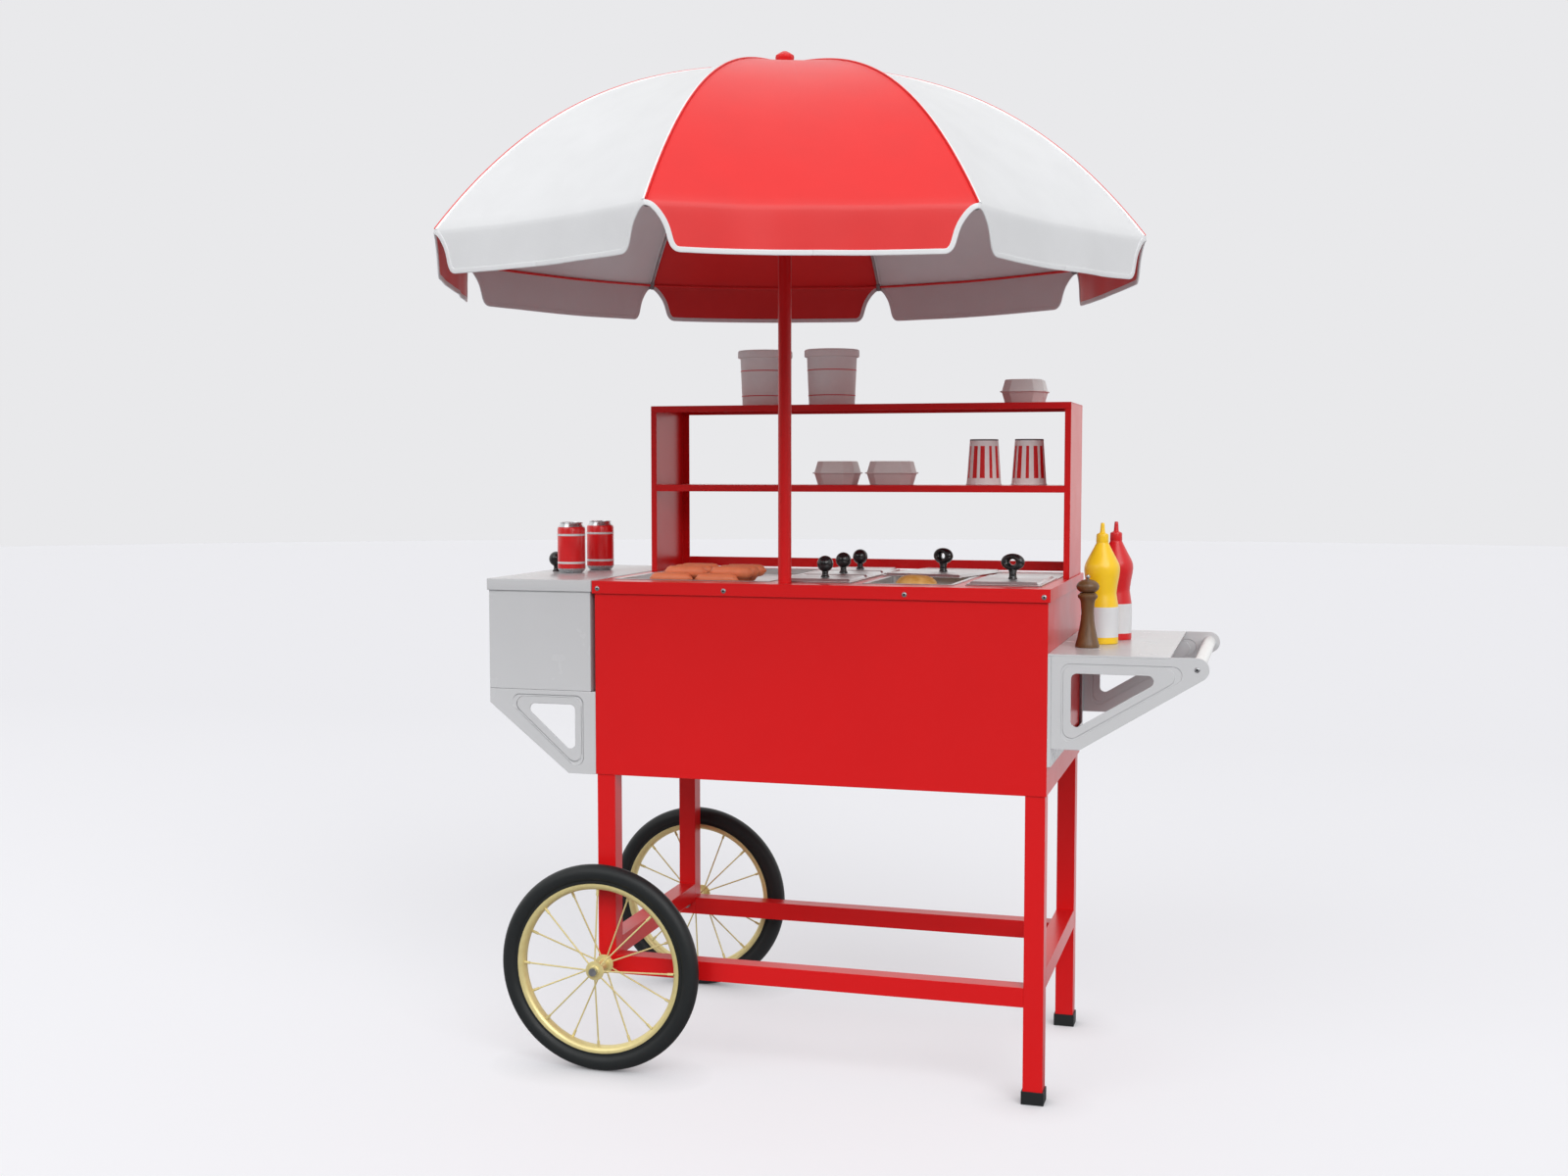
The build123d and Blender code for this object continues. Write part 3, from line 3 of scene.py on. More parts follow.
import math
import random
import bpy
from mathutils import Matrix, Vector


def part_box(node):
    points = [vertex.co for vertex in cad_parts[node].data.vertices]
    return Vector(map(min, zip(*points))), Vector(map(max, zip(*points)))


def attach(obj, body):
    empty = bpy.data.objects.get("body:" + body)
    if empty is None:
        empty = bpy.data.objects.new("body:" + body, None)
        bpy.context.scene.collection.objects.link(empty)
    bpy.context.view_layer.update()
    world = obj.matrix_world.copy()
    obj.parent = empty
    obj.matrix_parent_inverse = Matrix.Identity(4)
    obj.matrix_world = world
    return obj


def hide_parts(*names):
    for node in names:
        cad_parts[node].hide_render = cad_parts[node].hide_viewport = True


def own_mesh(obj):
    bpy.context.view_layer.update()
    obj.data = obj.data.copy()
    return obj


bl_info = {
    "name": "Hot Dog Cart",
    "version": (1, 0, 0),
    "blender": (4, 5, 0),
    "location": "3D View > Sidebar > Cart",
    "description": "Models the soft and small pieces of a hot dog cart around its CAD frame",
    "category": "Object",
}

import bpy
from mathutils import Vector, noise

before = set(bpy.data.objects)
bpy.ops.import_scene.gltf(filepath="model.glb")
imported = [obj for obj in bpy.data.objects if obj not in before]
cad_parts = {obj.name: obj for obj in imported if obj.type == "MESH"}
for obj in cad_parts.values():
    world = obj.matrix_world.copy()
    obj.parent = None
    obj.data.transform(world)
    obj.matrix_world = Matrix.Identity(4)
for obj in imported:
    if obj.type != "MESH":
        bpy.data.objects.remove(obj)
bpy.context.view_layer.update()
MM = 0.001

# Places of the CAD, in metres
POLE_X = -0.073
CROWN_Z = 2.195
CROWN_SLOPE = 0.125
KNOB_Z = 2.19417
RIM_Z = 1.803
RIM_RADIUS = 0.761
RIM_BEND = CROWN_Z - RIM_Z - CROWN_SLOPE * RIM_RADIUS
CROWN_HOLE = 0.018
RIB_TIP = 0.752
RIB_DROP = 0.014
RIBS = 8
FIRST_RIB = math.radians(-47.5)
HALF_GORE = math.pi / RIBS
HALF_RIM = RIM_RADIUS * math.sin(HALF_GORE)
AXLE_X = -0.4785
AXLE_Z = 0.232
WHEELS = (("front", -0.080), ("rear", 0.6035))
LID_Z = 1.0918
LID_TOP = 1.0988
SHELF_TOP = 1.488
SHELF_MIDDLE = 1.300
GOODS_Y = 0.445
COLD_TOP = 1.091
SIDE_TOP = 0.956

# Pan lids as (body, width, depth, middle, turn in degrees, knob), their sizes in millimetres
LIDS = (
    ("small_lid_front", 162, 165, (-0.011, 0.1095), 0, "ball"),
    ("small_lid_middle", 162, 165, (-0.011, 0.2755), 0, "ball"),
    ("small_lid_rear", 162, 165, (-0.011, 0.4415), 0, "ball"),
    ("bun_lid", 200, 264, (0.200, 0.396), -12, "ring"),
    ("end_lid", 162, 264, (0.399, 0.159), 0, "ring"),
)
COLD_KNOB = (-0.723, 0.265, COLD_TOP)
# Screw heads as (x, y, z, side): four along the worktop's lip, one at each end of the push handle
SCREW_PLACES = [(x, -0.040, 1.0732, 1) for x in (-0.494, -0.2, 0.2, 0.494)]
SCREW_PLACES += [(0.803, -0.035, 0.932, 1), (0.803, 0.565, 0.932, -1)]
# Pairs of sausages as (middle x, y, z): four on the pan's floor and three nested on top, further along
SAUSAGE_ROWS = [(-0.302, 0.064 + 0.048 * i, 1.0915) for i in range(4)]
SAUSAGE_ROWS += [(-0.275, 0.088 + 0.048 * i, 1.1061) for i in range(3)]
SAUSAGE_STEP = 0.053
CAN_PLACES = ((-0.666, 0.223), (-0.646, 0.356))
TUB_PLACES = (-0.250, -0.083)
# Foam boxes as (x, z, turn in degrees)
BOX_PLACES = ((0.381, SHELF_TOP, 90), (-0.068, SHELF_MIDDLE, 90), (0.065, SHELF_MIDDLE, 0))
CUP_PLACES = (0.286, 0.392)
MILL_PLACE = (0.565, 0.128, SIDE_TOP)
BOTTLES = (
    ("mustard_bottle", "yellow_polyethylene", (0.585, 0.226, SIDE_TOP)),
    ("ketchup_bottle", "red_polyethylene", (0.605, 0.330, SIDE_TOP)),
)

# One flap's edge beside a rib, in millimetres: (drop below the rim, distance from the rib's corner)
FLAP_EDGE = (
    (0, 0), (5, 0), (10, 0), (10.4, 3), (11.4, 6.4), (13.4, 10), (17, 14), (21.5, 18.2), (26.5, 22),
    (32, 25.8), (38, 29.4), (44, 32.2), (51, 34.8), (58, 36.9), (65, 38.8), (71, 40.6), (76, 42.6),
    (80.5, 45.4), (84, 48.8), (86.6, 52.8), (88, 59),
)
# The point of that edge where the notch between two flaps starts
NOTCH_START = 2
# How a flap hangs, in metres: how far it stands off the rim, over what drop, and where it flutters fully,
# and the share of a half panel in which it turns from the rib's heading to its own
FLAP_STANDOFF = 0.0026
FLAP_BEND = 0.006
FLAP_FLUTTER = 0.04
FLAP_CORNER = 0.1
# Slack of the cloth: waves in a metre of dome and of flap, and how far the sag's half wave is at the rim
DOME_WAVES = 7
FLAP_WAVES = 9
SAG_SPAN = 0.62
# Creases beside a rib: middle and reach in metres along the rib and in shares of a half panel across it
CREASE_PITCH = 0.06
CREASE_SLANT = 5
CREASE_HEIGHT = 0.45
CREASE_ALONG = (0.25, 0.07)
CREASE_ACROSS = (0.16, 0.12)
CREASE_START = 0.06
# How far the cloth runs on under its neighbour, as shares of a half panel, and the power it falls off by
TUCK_MOST = 0.65
TUCK_EASE = 0.05
TUCK_FALL = 1.25
# Where it falls off, where it ends, over what distance it fades, and how deep it lies, in metres
TUCK_RADIUS = 0.1
TUCK_END = 0.43
TUCK_FADE = 0.13
TUCK_DEPTH = 0.0025

# A spoke's ends, at a hub flange and in the rim, as (radius, distance from the wheel's middle plane)
SPOKES = 16
SPOKE_NEAR = (0.0165, 0.028)
SPOKE_FAR = (0.1775, 0.008)
NIPPLE = 0.014
# The foot of every knob, as (radius, height) in millimetres, and how far the finger rings are turned
KNOB_FOOT = [(0, 0), (9.6, 0), (10, 0.8), (9.6, 2.6)]
RING_TURN = math.radians(-25)

# The photograph's view: place, lens and aim were worked out from the cart's straight edges
CAMERA_PLACE = (0.9656, -3.6208, 1.3351)
CAMERA_YAW = math.radians(16.03)
CAMERA_PITCH = math.radians(3.88)
LENS = 39.94
SENSOR = 36
# Soft studio lamps as (name, strength, direction)
LAMPS = (("right_lamp", 1.8, (-0.6, 0.9, -0.75)), ("left_lamp", 0.86, (0.5, 0.95, -0.75)))
LAMP_SPREAD = math.radians(45)
FLOOR_RADIUS = 30

UP = Vector((0, 0, 1))
# A Mix node has sockets of one name for each kind of value, so those for colours go by number
SHARE, FIRST, SECOND, MIXED = 0, 6, 7, 2


def linear(code):
    """An sRGB hex colour as linear RGBA."""
    parts = [int(code[i:i + 2], 16) / 255 for i in (0, 2, 4)]
    return tuple(c / 12.92 if c <= 0.04045 else ((c + 0.055) / 1.055) ** 2.4 for c in parts) + (1.0,)


def colour(name, description, code):
    """A colour that a user can change."""
    return bpy.props.FloatVectorProperty(
        name=name, description=description, subtype="COLOR", size=4, min=0, max=1, default=linear(code))


def length(name, description, millimetres):
    """A size that a user can change."""
    return bpy.props.FloatProperty(
        name=name, description=description, unit="LENGTH", min=0, default=millimetres * MM, precision=4)


class CartSizes(bpy.types.PropertyGroup):
    """Sizes that the pieces are modelled from."""
    fabric: length("Canopy fabric", "Thickness of the canopy cloth", 1.2)
    sag: length("Canopy sag", "How far each canopy panel hollows between its ribs", 10)
    ripple: length("Canopy ripple", "Height of the slack waves in the canopy cloth", 3)
    binding: length("Flap binding", "Width of the tape bound over the flap edges", 9.6)
    seam: length("Seam piping", "Radius of the piping along the canopy seams", 2)
    rounding: length("Sheet edge", "Rounding of painted sheet edges", 0.8)
    tyre: length("Tyre section", "Radius of the tyre's round section", 19.5)
    tyre_circle: length("Tyre circle", "Radius of the circle through the tyre's middle", 212.5)
    spoke: length("Spoke", "Radius of a wheel spoke", 1.8)
    knob: length("Ball knob", "Radius of a lid's ball knob", 18)
    sausage: length("Sausage", "Radius of a sausage", 14)
    sausage_length: length("Sausage length", "Length of a sausage", 104)


class CartColours(bpy.types.PropertyGroup):
    """Colours of the finishes."""
    red: colour("Cart red", "Enamel of the cart and the pole", "D41417")
    grey: colour("Box grey", "Enamel of the cold box and the side shelf", "C8C9CB")
    white: colour("Handle white", "Enamel of the push handle", "EDEDEB")
    gold: colour("Wheel gold", "Lacquer of the rims, spokes and hubs", "EADCA2")
    gold_shade: colour("Wheel gold shade", "Darker patches in the wheels' lacquer", "D8C888")
    cloth_red: colour("Canopy red", "Red canopy panels", "E02222")
    cloth_white: colour("Canopy white", "White canopy panels and binding", "DEDFE1")
    sausage: colour("Sausage", "Skin of the sausages", "E6835A")
    bun: colour("Bun", "Crust of the bun", "D79A45")
    wood: colour("Mill wood", "Turned wood of the pepper mill", "664728")
    mustard: colour("Mustard bottle", "Yellow squeeze bottle", "F8C91E")
    ketchup: colour("Ketchup bottle", "Red squeeze bottle", "D2161C")
    floor: colour("Floor", "Studio floor and backdrop", "FBFBFF")


def add(tree, kind, inputs=None, feeds=None, **settings):
    """Adds a shader node with its settings and links: an input is a value or another node's output, and
    feeds gives the sockets that its own outputs go to."""
    made = tree.nodes.new(kind)
    for key, value in settings.items():
        setattr(made, key, value)
    for key, value in (inputs or {}).items():
        if isinstance(value, bpy.types.NodeSocket):
            tree.links.new(value, made.inputs[key])
        else:
            made.inputs[key].default_value = value
    for key, socket in (feeds or {}).items():
        tree.links.new(made.outputs[key], socket)
    return made


def finish(name, **sockets):
    """A new material: its tree, its Principled shader with constant sockets, and Object coordinates."""
    made = bpy.data.materials.new(name)
    made.use_nodes = True
    tree = made.node_tree
    shader = tree.nodes["Principled BSDF"]
    for key, value in sockets.items():
        shader.inputs[key.replace("_", " ")].default_value = value
    coords = add(tree, "ShaderNodeTexCoord").outputs["Object"]
    return tree, shader, coords


def per_metre(millimetres):
    """The texture scale that repeats once in this many millimetres."""
    return 1 / (millimetres * MM)


def wave_scale(millimetres):
    """The Wave texture scale for bands this far apart."""
    return math.pi / 10 / (millimetres * MM)


def shade(tone, factor):
    """A colour made darker or lighter."""
    return tuple(min(1.0, c * factor) for c in tone[:3]) + (1.0,)


def speckle(tree, shader, coords, light, dark, grain, detail=4.0):
    """Colour that drifts between two shades in patches this many millimetres wide."""
    spots = {"Vector": coords, "Scale": per_metre(grain), "Detail": detail}
    patches = add(tree, "ShaderNodeTexNoise", spots).outputs["Fac"]
    tones = {SHARE: patches, FIRST: dark, SECOND: light}
    mix = add(tree, "ShaderNodeMix", tones, {MIXED: shader.inputs["Base Color"]}, data_type="RGBA")
    return mix.outputs[MIXED]


def uneven_gloss(tree, shader, coords, low, high, grain):
    """Roughness that varies between two values in patches this many millimetres wide."""
    spots = {"Vector": coords, "Scale": per_metre(grain), "Detail": 3.0}
    patches = add(tree, "ShaderNodeTexNoise", spots).outputs["Fac"]
    gloss = {"Value": patches, "To Min": low, "To Max": high}
    add(tree, "ShaderNodeMapRange", gloss, {"Result": shader.inputs["Roughness"]})


def enamel(name, tone, low, high):
    """Sprayed and baked enamel on steel sheet: even colour, faint orange peel, soft reflections."""
    tree, shader, coords = finish(name, Specular_IOR_Level=0.3)
    speckle(tree, shader, coords, shade(tone, 1.03), shade(tone, 0.96), grain=180)
    uneven_gloss(tree, shader, coords, low, high, grain=60)
    # Orange peel is about 1.5 mm across; it is drawn at 4 mm so that it shows.
    peel = add(tree, "ShaderNodeTexNoise", {"Vector": coords, "Scale": per_metre(4), "Detail": 1.0})
    relief = {"Height": peel.outputs["Fac"], "Distance": 0.05 * MM, "Strength": 0.35}
    add(tree, "ShaderNodeBump", relief, {"Normal": shader.inputs["Normal"]})


def brushed_steel(name, along):
    """Rolled stainless sheet, brushed along one axis: long fine streaks in its gloss and tone."""
    tree, shader, coords = finish(name, Metallic=1.0, Anisotropic=0.4)
    # Brush lines are about 0.3 mm apart; they are drawn 1.5 mm apart so that they show.
    stretch = [per_metre(1.5)] * 3
    stretch[along] = per_metre(120)
    lines = add(tree, "ShaderNodeMapping", {"Vector": coords, "Scale": stretch}).outputs["Vector"]
    streaks = add(tree, "ShaderNodeTexNoise", {"Vector": lines, "Scale": 1.0, "Detail": 2.0}).outputs["Fac"]
    tones = {SHARE: streaks, FIRST: linear("C6C7C8"), SECOND: linear("E0E1E1")}
    add(tree, "ShaderNodeMix", tones, {MIXED: shader.inputs["Base Color"]}, data_type="RGBA")
    gloss = {"Value": streaks, "To Min": 0.3, "To Max": 0.44}
    add(tree, "ShaderNodeMapRange", gloss, {"Result": shader.inputs["Roughness"]})
    relief = {"Height": streaks, "Distance": 0.03 * MM, "Strength": 0.3}
    add(tree, "ShaderNodeBump", relief, {"Normal": shader.inputs["Normal"]})


def moulded(name, tone, low, high, grain, **sockets):
    """Moulded plastic or rubber: even tone with a fine pebbled skin."""
    tree, shader, coords = finish(name, **sockets)
    speckle(tree, shader, coords, shade(tone, 1.06), shade(tone, 0.92), grain=40)
    uneven_gloss(tree, shader, coords, low, high, grain=25)
    pebbles = add(tree, "ShaderNodeTexVoronoi", {"Vector": coords, "Scale": per_metre(grain)})
    relief = {"Height": pebbles.outputs["Distance"], "Distance": 0.05 * MM, "Strength": 0.25}
    add(tree, "ShaderNodeBump", relief, {"Normal": shader.inputs["Normal"]})


def bare_metal(name, light, dark, low, high, metal=1.0):
    """Plated or lacquered metal: a metal tone that drifts a little, with soft scuffs in its gloss."""
    tree, shader, coords = finish(name, Metallic=metal)
    speckle(tree, shader, coords, light, dark, grain=12)
    uneven_gloss(tree, shader, coords, low, high, grain=6)


def canopy_cloth(name, tone):
    """Woven polyester: a plain weave that shows as a fine grid, matt with a faint sheen."""
    tree, shader, coords = finish(name, Sheen_Weight=0.18, Sheen_Roughness=0.35, Roughness=0.44)
    dye = speckle(tree, shader, coords, shade(tone, 1.04), shade(tone, 0.93), grain=90)
    # Threads are about 0.5 mm apart; they are drawn 2.4 mm apart so that they show.
    sewn = add(tree, "ShaderNodeUVMap", uv_map="Weave").outputs["UV"]
    threads = {"Vector": sewn, "Scale": wave_scale(2.4)}
    warp = add(tree, "ShaderNodeTexWave", threads, bands_direction="X").outputs["Fac"]
    weft = add(tree, "ShaderNodeTexWave", threads, bands_direction="Y").outputs["Fac"]
    weave = add(tree, "ShaderNodeMath", {0: warp, 1: weft}, operation="MULTIPLY")
    relief = {"Height": weave.outputs["Value"], "Distance": 0.25 * MM, "Strength": 0.3}
    add(tree, "ShaderNodeBump", relief, {"Normal": shader.inputs["Normal"]})
    # The underside is given a faint painted glow, standing in for the daylight that comes through the cloth.
    normal = add(tree, "ShaderNodeNewGeometry").outputs["Normal"]
    facing = add(tree, "ShaderNodeSeparateXYZ", {"Vector": normal}).outputs["Z"]
    painted_glow = {"Value": facing, "From Min": -0.3, "From Max": -0.7, "To Min": 0, "To Max": 0.06}
    add(tree, "ShaderNodeMapRange", painted_glow, {"Result": shader.inputs["Emission Strength"]})
    tree.links.new(dye, shader.inputs["Emission Color"])


def sausage_skin(tone):
    """Cooked casing: mottled orange brown, darker in patches, thin greasy gloss."""
    tree, shader, coords = finish("cooked_sausage_skin", IOR=1.42, Subsurface_Weight=0.12,
                                  Subsurface_Scale=0.004, Subsurface_Radius=(1.0, 0.4, 0.2))
    speckle(tree, shader, coords, shade(tone, 1.15), shade(tone, 0.78), grain=22, detail=6.0)
    uneven_gloss(tree, shader, coords, 0.3, 0.55, grain=9)
    wrinkles = add(tree, "ShaderNodeTexNoise", {"Vector": coords, "Scale": per_metre(3), "Detail": 5.0})
    relief = {"Height": wrinkles.outputs["Fac"], "Distance": 0.4 * MM, "Strength": 0.35}
    add(tree, "ShaderNodeBump", relief, {"Normal": shader.inputs["Normal"]})


def bread_crust(tone):
    """Baked crust: golden brown on top and paler towards the sides, fine wrinkled skin."""
    tree, shader, coords = finish("baked_bread_crust", Roughness=0.55, IOR=1.4)
    height = add(tree, "ShaderNodeSeparateXYZ", {"Vector": coords}).outputs["Z"]
    low, high = (corner.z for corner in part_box("burger_bun"))
    rise = add(tree, "ShaderNodeMapRange", {"Value": height, "From Min": low, "From Max": high})
    spots = {"Vector": coords, "Scale": per_metre(18), "Detail": 6.0}
    blotch = add(tree, "ShaderNodeTexNoise", spots).outputs["Fac"]
    both = add(tree, "ShaderNodeMath", {0: rise.outputs["Result"], 1: blotch}, operation="MULTIPLY")
    ramp = add(tree, "ShaderNodeValToRGB", {"Fac": both.outputs["Value"]},
               {"Color": shader.inputs["Base Color"]})
    ramp.color_ramp.elements[0].color = linear("E6BE7E")
    ramp.color_ramp.elements[1].color = shade(tone, 0.8)
    ramp.color_ramp.elements[1].position = 0.55
    skin = add(tree, "ShaderNodeTexNoise", {"Vector": coords, "Scale": per_metre(2.5), "Detail": 4.0})
    relief = {"Height": skin.outputs["Fac"], "Distance": 0.4 * MM, "Strength": 0.4}
    add(tree, "ShaderNodeBump", relief, {"Normal": shader.inputs["Normal"]})


def turned_wood(tone):
    """Oiled hardwood turned on a lathe: long grain along the mill, fine pores."""
    tree, shader, coords = finish("turned_hardwood", IOR=1.5, Coat_Weight=0.1, Coat_Roughness=0.25,
                                  Roughness=0.42)
    stretch = [per_metre(4), per_metre(4), per_metre(60)]
    lines = add(tree, "ShaderNodeMapping", {"Vector": coords, "Scale": stretch}).outputs["Vector"]
    grain = add(tree, "ShaderNodeTexNoise", {"Vector": lines, "Scale": 1.0, "Detail": 6.0}).outputs["Fac"]
    tones = {SHARE: grain, FIRST: shade(tone, 0.55), SECOND: shade(tone, 1.4)}
    add(tree, "ShaderNodeMix", tones, {MIXED: shader.inputs["Base Color"]}, data_type="RGBA")
    relief = {"Height": grain, "Distance": 0.1 * MM, "Strength": 0.3}
    add(tree, "ShaderNodeBump", relief, {"Normal": shader.inputs["Normal"]})


def card(name, tone, rough=0.6):
    """Coated card or foamed plastic: nearly white, fine fibres, dull gloss."""
    tree, shader, coords = finish(name, Roughness=rough, IOR=1.45)
    speckle(tree, shader, coords, shade(tone, 1.03), shade(tone, 0.94), grain=14)
    fibres = add(tree, "ShaderNodeTexNoise", {"Vector": coords, "Scale": per_metre(1.6), "Detail": 3.0})
    relief = {"Height": fibres.outputs["Fac"], "Distance": 0.08 * MM, "Strength": 0.3}
    add(tree, "ShaderNodeBump", relief, {"Normal": shader.inputs["Normal"]})


def backdrop_paper(tone):
    """Matt studio paper. Seen directly it is partly lit from within by a painted glow, stronger at the front
    and dimmed to a painted contact shadow near what stands on it; other rays meet a duller one, and
    reflections meet its bright part behind the cart."""
    tree, shader, coords = finish("studio_backdrop_paper", Roughness=0.9, Specular_IOR_Level=0.0)
    path = add(tree, "ShaderNodeLightPath")
    seen = path.outputs["Is Camera Ray"]
    tones = {SHARE: seen, FIRST: shade(tone, 0.36), SECOND: shade(tone, 0.76)}
    add(tree, "ShaderNodeMix", tones, {MIXED: shader.inputs["Base Color"]}, data_type="RGBA")
    far = add(tree, "ShaderNodeSeparateXYZ", {"Vector": coords}).outputs["Y"]
    # Painted light: the glow is stronger at the front and fades towards the back.
    fading = {"Value": far, "From Min": -1.5, "From Max": 5, "To Min": 1.22, "To Max": 1.02}
    fade = add(tree, "ShaderNodeMapRange", fading).outputs["Result"]
    # Painted contact shadow: the glow is dimmed where things stand close to the paper.
    contact_shadow = add(tree, "ShaderNodeAmbientOcclusion", {"Distance": 0.12}, samples=8).outputs["AO"]
    strength = add(tree, "ShaderNodeMath", {0: fade, 1: contact_shadow}, operation="MULTIPLY").outputs["Value"]
    glow = add(tree, "ShaderNodeEmission", {"Color": tone, "Strength": strength}).outputs["Emission"]
    rising = {"Value": far, "From Min": 0, "From Max": 1.5, "To Max": 0.8}
    behind = add(tree, "ShaderNodeMapRange", rising).outputs["Result"]
    glossy = {0: path.outputs["Is Glossy Ray"], 1: behind}
    mirrored = add(tree, "ShaderNodeMath", glossy, operation="MULTIPLY").outputs["Value"]
    share = add(tree, "ShaderNodeMath", {0: seen, 1: 0.45, 2: mirrored}, operation="MULTIPLY_ADD")
    both = {0: share.outputs["Value"], 1: shader.outputs["BSDF"], 2: glow}
    add(tree, "ShaderNodeMixShader", both, {"Shader": tree.nodes["Material Output"].inputs["Surface"]})


def studio_room():
    """The light all round: reflections see pale walls at the sides and behind the cart and a dim room in
    front of it, and the camera sees a plain pale backdrop."""
    world = bpy.data.worlds.new("Studio")
    world.use_nodes = True
    tree = world.node_tree
    path = add(tree, "ShaderNodeLightPath")
    direction = add(tree, "ShaderNodeTexCoord").outputs["Generated"]
    heading = add(tree, "ShaderNodeSeparateXYZ", {"Vector": direction}).outputs["Y"]
    dimming = {"Value": heading, "From Min": -0.8, "From Max": -0.1, "To Min": 0.05, "To Max": 1.1}
    walls = add(tree, "ShaderNodeMapRange", dimming).outputs["Result"]
    light = add(tree, "ShaderNodeBackground", {"Color": linear("FFFFFF"), "Strength": 0.5})
    room = add(tree, "ShaderNodeBackground", {"Color": linear("FFFFFF"), "Strength": walls})
    backdrop = add(tree, "ShaderNodeBackground", {"Color": linear("E9E9EB"), "Strength": 1.0})
    glossy = {0: path.outputs["Is Glossy Ray"], 1: light.outputs["Background"],
              2: room.outputs["Background"]}
    mirrored = add(tree, "ShaderNodeMixShader", glossy).outputs["Shader"]
    seen = {0: path.outputs["Is Camera Ray"], 1: mirrored, 2: backdrop.outputs["Background"]}
    add(tree, "ShaderNodeMixShader", seen, {"Shader": tree.nodes["World Output"].inputs["Surface"]})
    return world


class CART_OT_finishes(bpy.types.Operator):
    """Mixes every finish that the cart uses"""
    bl_idname = "cart.finishes"
    bl_label = "Finishes"

    def execute(self, context):
        tones = context.scene.cart_colours
        enamel("red_enamel_on_steel", tones.red, 0.26, 0.33)
        enamel("grey_enamel_on_steel", tones.grey, 0.22, 0.3)
        enamel("white_enamel_on_steel", tones.white, 0.2, 0.28)
        brushed_steel("brushed_stainless_steel", 0)
        bare_metal("gold_lacquered_steel", tones.gold, tones.gold_shade, 0.3, 0.42, 0.4)
        bare_metal("zinc_plated_steel", linear("C4C6C8"), linear("8E9194"), 0.25, 0.42)
        bare_metal("cast_iron", linear("4A4A4C"), linear("303032"), 0.5, 0.7)
        bare_metal("drawn_aluminium", linear("D6D8DA"), linear("B4B6B8"), 0.2, 0.32)
        moulded("black_bakelite_and_socket_shade", linear("141416"), 0.16, 0.28, 1.2, IOR=1.55)
        moulded("black_tyre_rubber", linear("202324"), 0.4, 0.55, 2.0, Specular_IOR_Level=0.3)
        moulded("grey_nylon", linear("8B8D90"), 0.4, 0.55, 1.2, IOR=1.5)
        moulded("yellow_polyethylene", tones.mustard, 0.26, 0.38, 2.0, IOR=1.5)
        moulded("red_polyethylene", tones.ketchup, 0.26, 0.38, 2.0, IOR=1.5)
        moulded("white_label_film", linear("DADADC"), 0.3, 0.42, 3.0, IOR=1.48)
        moulded("red_printed_can", linear("DE2024"), 0.18, 0.26, 3.0, IOR=1.5)
        canopy_cloth("red_polyester_canvas", tones.cloth_red)
        canopy_cloth("white_polyester_canvas", tones.cloth_white)
        canopy_cloth("white_polyester_tape", linear("F4F5F6"))
        sausage_skin(tones.sausage)
        bread_crust(tones.bun)
        turned_wood(tones.wood)
        card("white_coated_card", linear("F2F2F2"))
        card("red_printed_card", linear("D8191E"), 0.5)
        card("grey_board", linear("7A7C7E"))
        card("foamed_polystyrene", linear("E4E2E1"), 0.5)
        return {"FINISHED"}


def deselect():
    """Object mode with nothing selected."""
    if bpy.context.mode != "OBJECT":
        bpy.ops.object.mode_set(mode="OBJECT")
    bpy.ops.object.select_all(action="DESELECT")


def select_only(piece):
    """Object mode with one piece selected and active."""
    deselect()
    piece.select_set(True)
    bpy.context.view_layer.objects.active = piece


def edit_all(piece):
    """Edit mode on one piece with all of it selected."""
    select_only(piece)
    bpy.ops.object.mode_set(mode="EDIT")
    bpy.ops.mesh.select_all(action="SELECT")


def apply_modifier(piece, kind, **settings):
    """Adds a modifier to a piece and applies it."""
    select_only(piece)
    modifier = piece.modifiers.new(kind.title(), kind)
    for key, value in settings.items():
        setattr(modifier, key, value)
    bpy.ops.object.modifier_apply(modifier=modifier.name)


def soften(piece, width, segments, degrees):
    """Rounds the edges of a piece that turn by more than an angle; the width is in millimetres."""
    apply_modifier(piece, "BEVEL", width=width * MM, segments=segments, limit_method="ANGLE",
                   angle_limit=math.radians(degrees))


def smooth(piece, degrees=35):
    """Smooth shading, apart from edges that turn by more than an angle."""
    select_only(piece)
    bpy.ops.object.shade_smooth_by_angle(angle=math.radians(degrees))


def turned(profile, steps=64, closed=False):
    """Spins a (radius, height) profile in millimetres about Z. A closed profile makes a ring."""
    deselect()
    bpy.ops.mesh.primitive_plane_add(size=MM)
    piece = bpy.context.object
    edit_all(piece)
    bpy.ops.mesh.merge(type="CENTER")
    points = [Vector((r * MM, 0, z * MM)) for r, z in profile]
    if closed:
        points.append(points[0])
    bpy.ops.transform.translate(value=points[0])
    for start, end in zip(points, points[1:]):
        bpy.ops.mesh.extrude_region_move(TRANSFORM_OT_translate={"value": end - start})
    bpy.ops.mesh.select_all(action="SELECT")
    bpy.ops.mesh.spin(steps=steps, angle=2 * math.pi, center=(0, 0, 0), axis=(0, 0, 1))
    bpy.ops.mesh.select_all(action="SELECT")
    bpy.ops.mesh.remove_doubles(threshold=0.01 * MM)
    bpy.ops.mesh.normals_make_consistent(inside=False)
    deselect()
    smooth(piece)
    return piece


def place(piece, at=(0, 0, 0), turn=(0, 0, 0)):
    """Puts a piece where it belongs and leaves its object at the origin."""
    select_only(piece)
    piece.location = at
    piece.rotation_euler = turn
    bpy.ops.object.transform_apply(location=True, rotation=True, scale=True)


